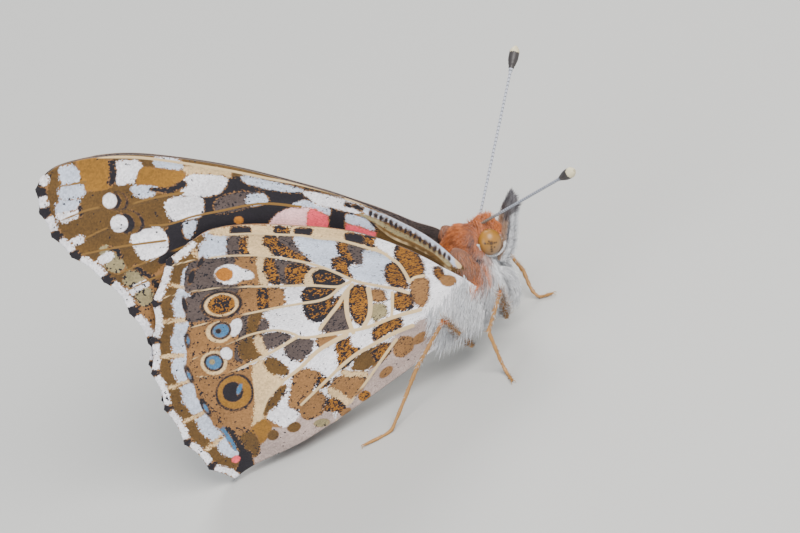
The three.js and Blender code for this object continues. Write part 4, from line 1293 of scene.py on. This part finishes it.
def strewn(line, radii, count, seed):
    """Roots over a tube: places, outward directions, directions along it, shares along and round it."""
    random = np.random.default_rng(seed)
    share = random.random(count)
    stops = np.linspace(0, 1, len(line))
    middle, ahead = (np.stack([np.interp(share, stops, values[:, k]) for k in range(3)], axis=1)
                     for values in (line, np.gradient(line, axis=0)))
    ahead = unit(ahead)
    bearing = random.random(count) * 2 * np.pi
    side = unit(np.cross(ahead, np.array([0.0, 1.0, 0.001])))
    top = np.cross(side, ahead)
    outward = np.cos(bearing)[:, None] * side + np.sin(bearing)[:, None] * top
    roots = middle + np.interp(share, stops, radii)[:, None] * outward * ROOT_DEPTH
    return roots, outward, ahead, share, bearing, random


# Palps: two feelers beside the mouth that curve up before the face. They are thick with scales, bristly and
# white in front, pinkish tan behind with a dark red-brown line between, and purple-black at the tip.

PALP_LINE = [(2.25, 0.68, -1.95), (3.1, 0.72, -1.25), (3.8, 0.68, -0.2), (4.48, 0.6, 0.8), (5.12, 0.52, 1.5)]
PALP_TUFTS = 2400

for side_name, hand in SIDES.items():
    line = smooth_line([(x, hand * y, z) for x, y, z in PALP_LINE], 60)
    share = np.linspace(0, 1, len(line))
    radii = 0.31 * (0.75 + 0.5 * np.sin(np.pi * share ** 0.8)) * (1 - 0.66 * share ** 3)
    radii[0] = radii[-1] = 0.05
    made = tube(f"palp_{side_name}_skin", line, radii, coat_material)
    face = unit(np.gradient(line, axis=0))
    front = np.stack([face[:, 2], 0 * face[:, 0], -face[:, 0]], axis=1)
    points = np.array([v.co for v in made.data.vertices]) / MM - HINGE
    nearest = np.minimum(np.arange(len(points)) // TUBE_SIDES, len(line) - 1)
    forward = np.sum((points - line[nearest]) * front[nearest], axis=1) / radii[nearest]

    def palp_shares(forward, share):
        tan = ramp(-forward, 0.42, 0.68) * (1 - ramp(share, 0.72, 0.85))
        dark = np.maximum(np.exp(-((forward + 0.38) / 0.2) ** 2) * ramp(share, 0.15, 0.35),
                          ramp(share - 0.14 * forward, 0.70, 0.80))
        return np.stack([0.35 * tan, 0.9 * dark, 0.7 * tan], axis=1)

    attribute(made, "shares", palp_shares(forward, nearest / len(line)))
    attribute(made, "hair", np.tile([0.7, 0.4, 0.0], (len(points), 1)))
    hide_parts(f"palp_{side_name}")
    roots, outward, ahead, share, bearing, random = strewn(line, radii, PALP_TUFTS, 31)
    front_here = np.stack([ahead[:, 2], 0 * share, -ahead[:, 0]], axis=1)
    forward = np.sum(outward * unit(front_here), axis=1)
    direction = unit(ahead + 0.95 * outward * ramp(forward, 0.1, 0.8)[:, None] + 0.12 * outward
                     + random.normal(0, 0.12, ahead.shape))
    tufts(f"palp_{side_name}_fur", roots, direction, outward, random.uniform(0.25, 0.62, PALP_TUFTS), 0.026,
          palp_shares(forward, share) + [0, 0.28, 0] * (random.random((PALP_TUFTS, 1)) < 0.2),
          random.uniform(0.2, 1, PALP_TUFTS),
          np.stack([share, bearing / FULL_TURN], axis=1), 0.5)

# The tongue: a horny tube of two halves, coiled like a watch spring. It is drawn up under the head, between
# the palps.

HORN_BROWN, HORN_AMBER = (0.42, 0.20, 0.06, 1), (0.62, 0.34, 0.13, 1)

horn_material, tree, shader = new_material("horn")
grain = grained(tree, shader, 3500.0, 0.2, 0.03 * MM)
colour = mix_colour(tree, grain, HORN_BROWN, HORN_AMBER)
surface(tree, shader, colour, {"Roughness": 0.42})

TONGUE = {"x": 2.75, "z": -2.1, "radius": 0.42, "thickness": 0.09, "turns": 2.6}
wound = np.linspace(0, 1, 160)
spiral = TONGUE["radius"] * (1 - 0.72 * wound)
bearing = math.radians(100) - 2 * np.pi * TONGUE["turns"] * wound
line = np.stack([TONGUE["x"] + spiral * np.cos(bearing),
                 0 * wound,
                 TONGUE["z"] + spiral * np.sin(bearing)], axis=1)
tongue = tube("tongue", line, TONGUE["thickness"] * (1 - 0.5 * wound), horn_material, 12)
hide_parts("proboscis")

# Antennae: slender jointed shafts, dark with a band of white scales on every joint, ending in a flattened
# black club with a cream tip.

ANTENNA_BASE = (2.62, 0.62, 1.32)
ANTENNA_TIP = {"left": (10.35, 8.8, 7.15), "right": (9.7, -9.25, 6.4)}
ANTENNA_JOINTS = 46
ANTENNA_SIDES = 24
CLUB_LENGTH = 1.75
CLUB_FROM, TIP_FROM = 0.865, 0.968  # shares of the length, where the black and the cream begin
# The dark brown below is painted shade on the base of the near (right) antenna.
ANTENNA = {"shaft": (0.17, 0.18, 0.21, 1), "scales": (0.46, 0.48, 0.55, 1), "brown": (0.14, 0.10, 0.06, 1),
           "club": (0.035, 0.03, 0.03, 1), "tip": (0.62, 0.55, 0.36, 1)}

antenna_material, tree, shader = new_material("antenna")
along = kept(tree, "along")
grain = grained(tree, shader, 9000.0, 0.2, 0.02 * MM)
joint = math_node(tree, "FRACT", math_node(tree, "MULTIPLY", along, ANTENNA_JOINTS))
joint = math_node(tree, "ADD", joint, scaled_by(tree, grain, 0.5, -0.25))
colour = mix_colour(tree, math_node(tree, "GREATER_THAN", joint, 0.42), ANTENNA["shaft"], ANTENNA["scales"])
# Painted shade: the antenna's base is darkened towards dark brown by the share kept for each point.
brown = kept(tree, "brown")
colour = mix_colour(tree, brown, colour, ANTENNA["brown"])
colour = mix_colour(tree, math_node(tree, "GREATER_THAN", along, CLUB_FROM), colour, ANTENNA["club"])
tip = math_node(tree, "GREATER_THAN", scaled_by(tree, grain, 0.02, along), TIP_FROM)
colour = mix_colour(tree, tip, colour, ANTENNA["tip"])
surface(tree, shader, colour, {"Roughness": 0.5})

for side_name, hand in SIDES.items():
    base = np.array([ANTENNA_BASE[0], hand * ANTENNA_BASE[1], ANTENNA_BASE[2]])
    tip = np.array(ANTENNA_TIP[side_name])
    share = np.linspace(0, 1, 300)
    line = base - 0.3 * unit(tip - base) + share[:, None] * (tip - base + 0.3 * unit(tip - base))
    length = np.linalg.norm(line[-1] - line[0])
    to_tip = (1 - share) * length
    club = ramp(-to_tip, -CLUB_LENGTH - 0.5, -CLUB_LENGTH + 0.9)
    radii = 0.09 + 0.02 * np.cos(2 * np.pi * ANTENNA_JOINTS * share) * (1 - club) + 0.27 * club
    radii *= np.sqrt(np.clip(to_tip / 0.45, 0.02, 1))
    made = tube(f"antenna_{side_name}_look", line, radii, antenna_material, ANTENNA_SIDES)
    # The near (right) antenna is darkened with painted shade for its first third. The left one is only a
    # little darker just where it leaves the head.
    darkened_base = 0.85 * fade(share, 0.05, 0.3) if side_name == "right" else 0.3 * fade(share, 0.02, 0.1)
    attribute(made, "brown", np.r_[np.repeat(darkened_base, ANTENNA_SIDES), 0, 0])
    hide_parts(f"antenna_{side_name}", f"antenna_club_{side_name}")

# Walking legs: ochre horn, cream-scaled in front, with stiff hairs along the thigh, spines on the shin,
# five-jointed feet and small double claws.

LEGS = {
    "mid_right": [(0.75, -1.6, -5.55), (1.36, -4.2, -2.0), (-0.72, -4.35, -4.3), (-1.0, -4.75, -6.9),
                  (-1.0, -5.2, -7.42), (-0.9, -6.3, -7.42)],
    "mid_left": [(0.95, 1.6, -5.45), (2.6, 4.6, -2.9), (3.2, 3.3, -5.9), (3.1, 2.1, -6.95), (3.3, 1.7, -7.42),
                 (4.2, 1.2, -7.42)],
    "hind_right": [(-2.3, -1.7, -6.2), (-2.95, -4.95, -1.4), (-6.25, -4.45, -4.05), (-9.35, -4.45, -6.95),
                   (-10.0, -4.5, -7.42), (-12.0, -4.5, -7.42)],
    "hind_left": [(-2.3, 1.7, -6.2), (-2.95, 4.95, -1.4), (-6.25, 4.45, -4.05), (-9.35, 4.45, -6.95),
                  (-10.0, 4.5, -7.42), (-12.0, 4.5, -7.42)],
}
LEG_COLOURS = {"brown": (0.25, 0.115, 0.03, 1), "ochre": (0.46, 0.24, 0.07, 1), "knee": (0.50, 0.12, 0.03, 1),
               "scales": (0.66, 0.56, 0.44, 1)}
FOOT_JOINTS = 5
# For each length of a leg: how many hairs, how long, how far they stand off, and the share of tan ones
LEG_HAIR = {"femur": (700, 0.75, 0.45, 0.35), "tibia": (150, 0.26, 0.7, 0.6), "tarsus": (110, 0.16, 0.8, 0.9)}

leg_material, tree, shader = new_material("leg")
grain = grained(tree, shader, 5000.0, 0.3, 0.04 * MM)
scaled = kept(tree, "scaled")
knee = kept(tree, "knee")
colour = mix_colour(tree, grain, LEG_COLOURS["brown"], LEG_COLOURS["ochre"])
colour = mix_colour(tree, knee, colour, LEG_COLOURS["knee"])
cover = math_node(tree, "GREATER_THAN", scaled_by(tree, grain, 0.8, scaled), 0.95)
colour = mix_colour(tree, cover, colour, LEG_COLOURS["scales"])
surface(tree, shader, colour, {"Roughness": 0.5})


def thigh_radius(t):
    return 0.21 * (1 - 0.25 * t) * np.sqrt(np.clip((1 - t) / 0.06, 0.25, 1))


def leg(name, hip, knee_at, heel, ankle, sole, toe, seed):
    lengths = {
        "femur": ([hip, knee_at], thigh_radius, 40),
        "tibia": ([knee_at, heel], lambda t: 0.13 + 0.05 * fade(t, 0, 0.15) + 0.03 * ramp(t, 0.85, 1), 40),
        "tarsus": ([heel, ankle, sole, toe],
                   lambda t: 0.12 + 0.03 * np.abs(np.sin(np.pi * FOOT_JOINTS * t)) - 0.04 * t, 90),
    }
    for part, (points, radius_at, steps) in lengths.items():
        line = smooth_line(points, steps) if len(points) > 2 else np.linspace(*points, steps + 1)
        share = np.linspace(0, 1, len(line))
        radii = radius_at(share)
        line[:, 2] = np.maximum(line[:, 2], -HINGE[2] + radii + 0.01)
        made = tube(f"{name}_{part}_look", line, radii, leg_material)
        scaled_share = {"femur": 0.4, "tibia": 0.52 - 0.3 * share, "tarsus": 0.12 + 0 * share}[part]
        attribute(made, "scaled", np.r_[np.repeat(scaled_share + 0 * share, TUBE_SIDES), 0, 0])
        at_knee = {"femur": ramp(share, 0.8, 1), "tibia": fade(share, 0, 0.2), "tarsus": 0 * share}[part]
        attribute(made, "knee", np.r_[np.repeat(0.7 * at_knee, TUBE_SIDES), 0, 0])
        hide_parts(f"{name}_{part}")
        count, hair_length, spread, tan_share = LEG_HAIR[part]
        roots, outward, ahead, share, bearing, random = strewn(line, radii, count, seed + len(part))
        long = hair_length * random.uniform(0.6, 1.2, count)
        direction = unit(ahead + spread * outward + random.normal(0, 0.15, ahead.shape))
        tan = np.zeros((count, 3))
        tan[:, 2] = random.random(count) < tan_share
        tufts(f"{name}_{part}_hair", roots, direction, outward, long, 0.02, tan, random.random(count),
              np.stack([share, bearing / FULL_TURN], axis=1), 0.15)
    heading = unit(np.subtract(toe, sole))
    sideways = np.cross(heading, (0, 0, 1.0))
    for k, hand in enumerate((1, -1)):
        start = np.array(toe) + 0.05 * hand * sideways
        claw = [start, start + 0.22 * heading + 0.07 * hand * sideways + (0, 0, 0.02),
                start + 0.34 * heading + 0.11 * hand * sideways + (0, 0, -0.11)]
        radii = 0.045 * (1 - 0.8 * np.linspace(0, 1, 13))
        tube(f"{name}_claw_{k}", smooth_line(claw, 12), radii, leg_material, 8)


for number, (name, joints) in enumerate(LEGS.items()):
    leg(name, *joints, seed=50 + 10 * number)

# The short forelegs: too small to walk on, they are folded against the breast. Each is a thin horny rod
# under a brush of long white hair.

FORELEG_HAIRS = 1500
FORELEG_LINE = [(2.0, 0.85, -2.3), (2.3, 0.9, -3.2), (2.2, 0.9, -4.2), (1.85, 0.85, -5.0)]
for side_name, hand in SIDES.items():
    line = smooth_line([(x, hand * y, z) for x, y, z in FORELEG_LINE], 40)
    radii = 0.2 * (1 - 0.45 * np.linspace(0, 1, len(line)))
    radii[0] = radii[-1] = 0.05
    made = tube(f"foreleg_{side_name}_skin", line, radii, coat_material)
    white = np.zeros((len(made.data.vertices), 3))
    attribute(made, "shares", white)
    attribute(made, "hair", white + [0.8, 0.3, 0])
    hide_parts(f"foreleg_{side_name}")
    roots, outward, ahead, share, bearing, random = strewn(line, radii, FORELEG_HAIRS, 41)
    direction = unit(ahead + 0.12 * outward + random.normal(0, 0.12, ahead.shape))
    tufts(f"foreleg_{side_name}_hair", roots, direction, outward, random.uniform(0.5, 1.0, FORELEG_HAIRS),
          0.03, np.zeros((FORELEG_HAIRS, 3)), random.uniform(0.4, 1, FORELEG_HAIRS),
          np.stack([share, bearing / FULL_TURN], axis=1), 0.5)
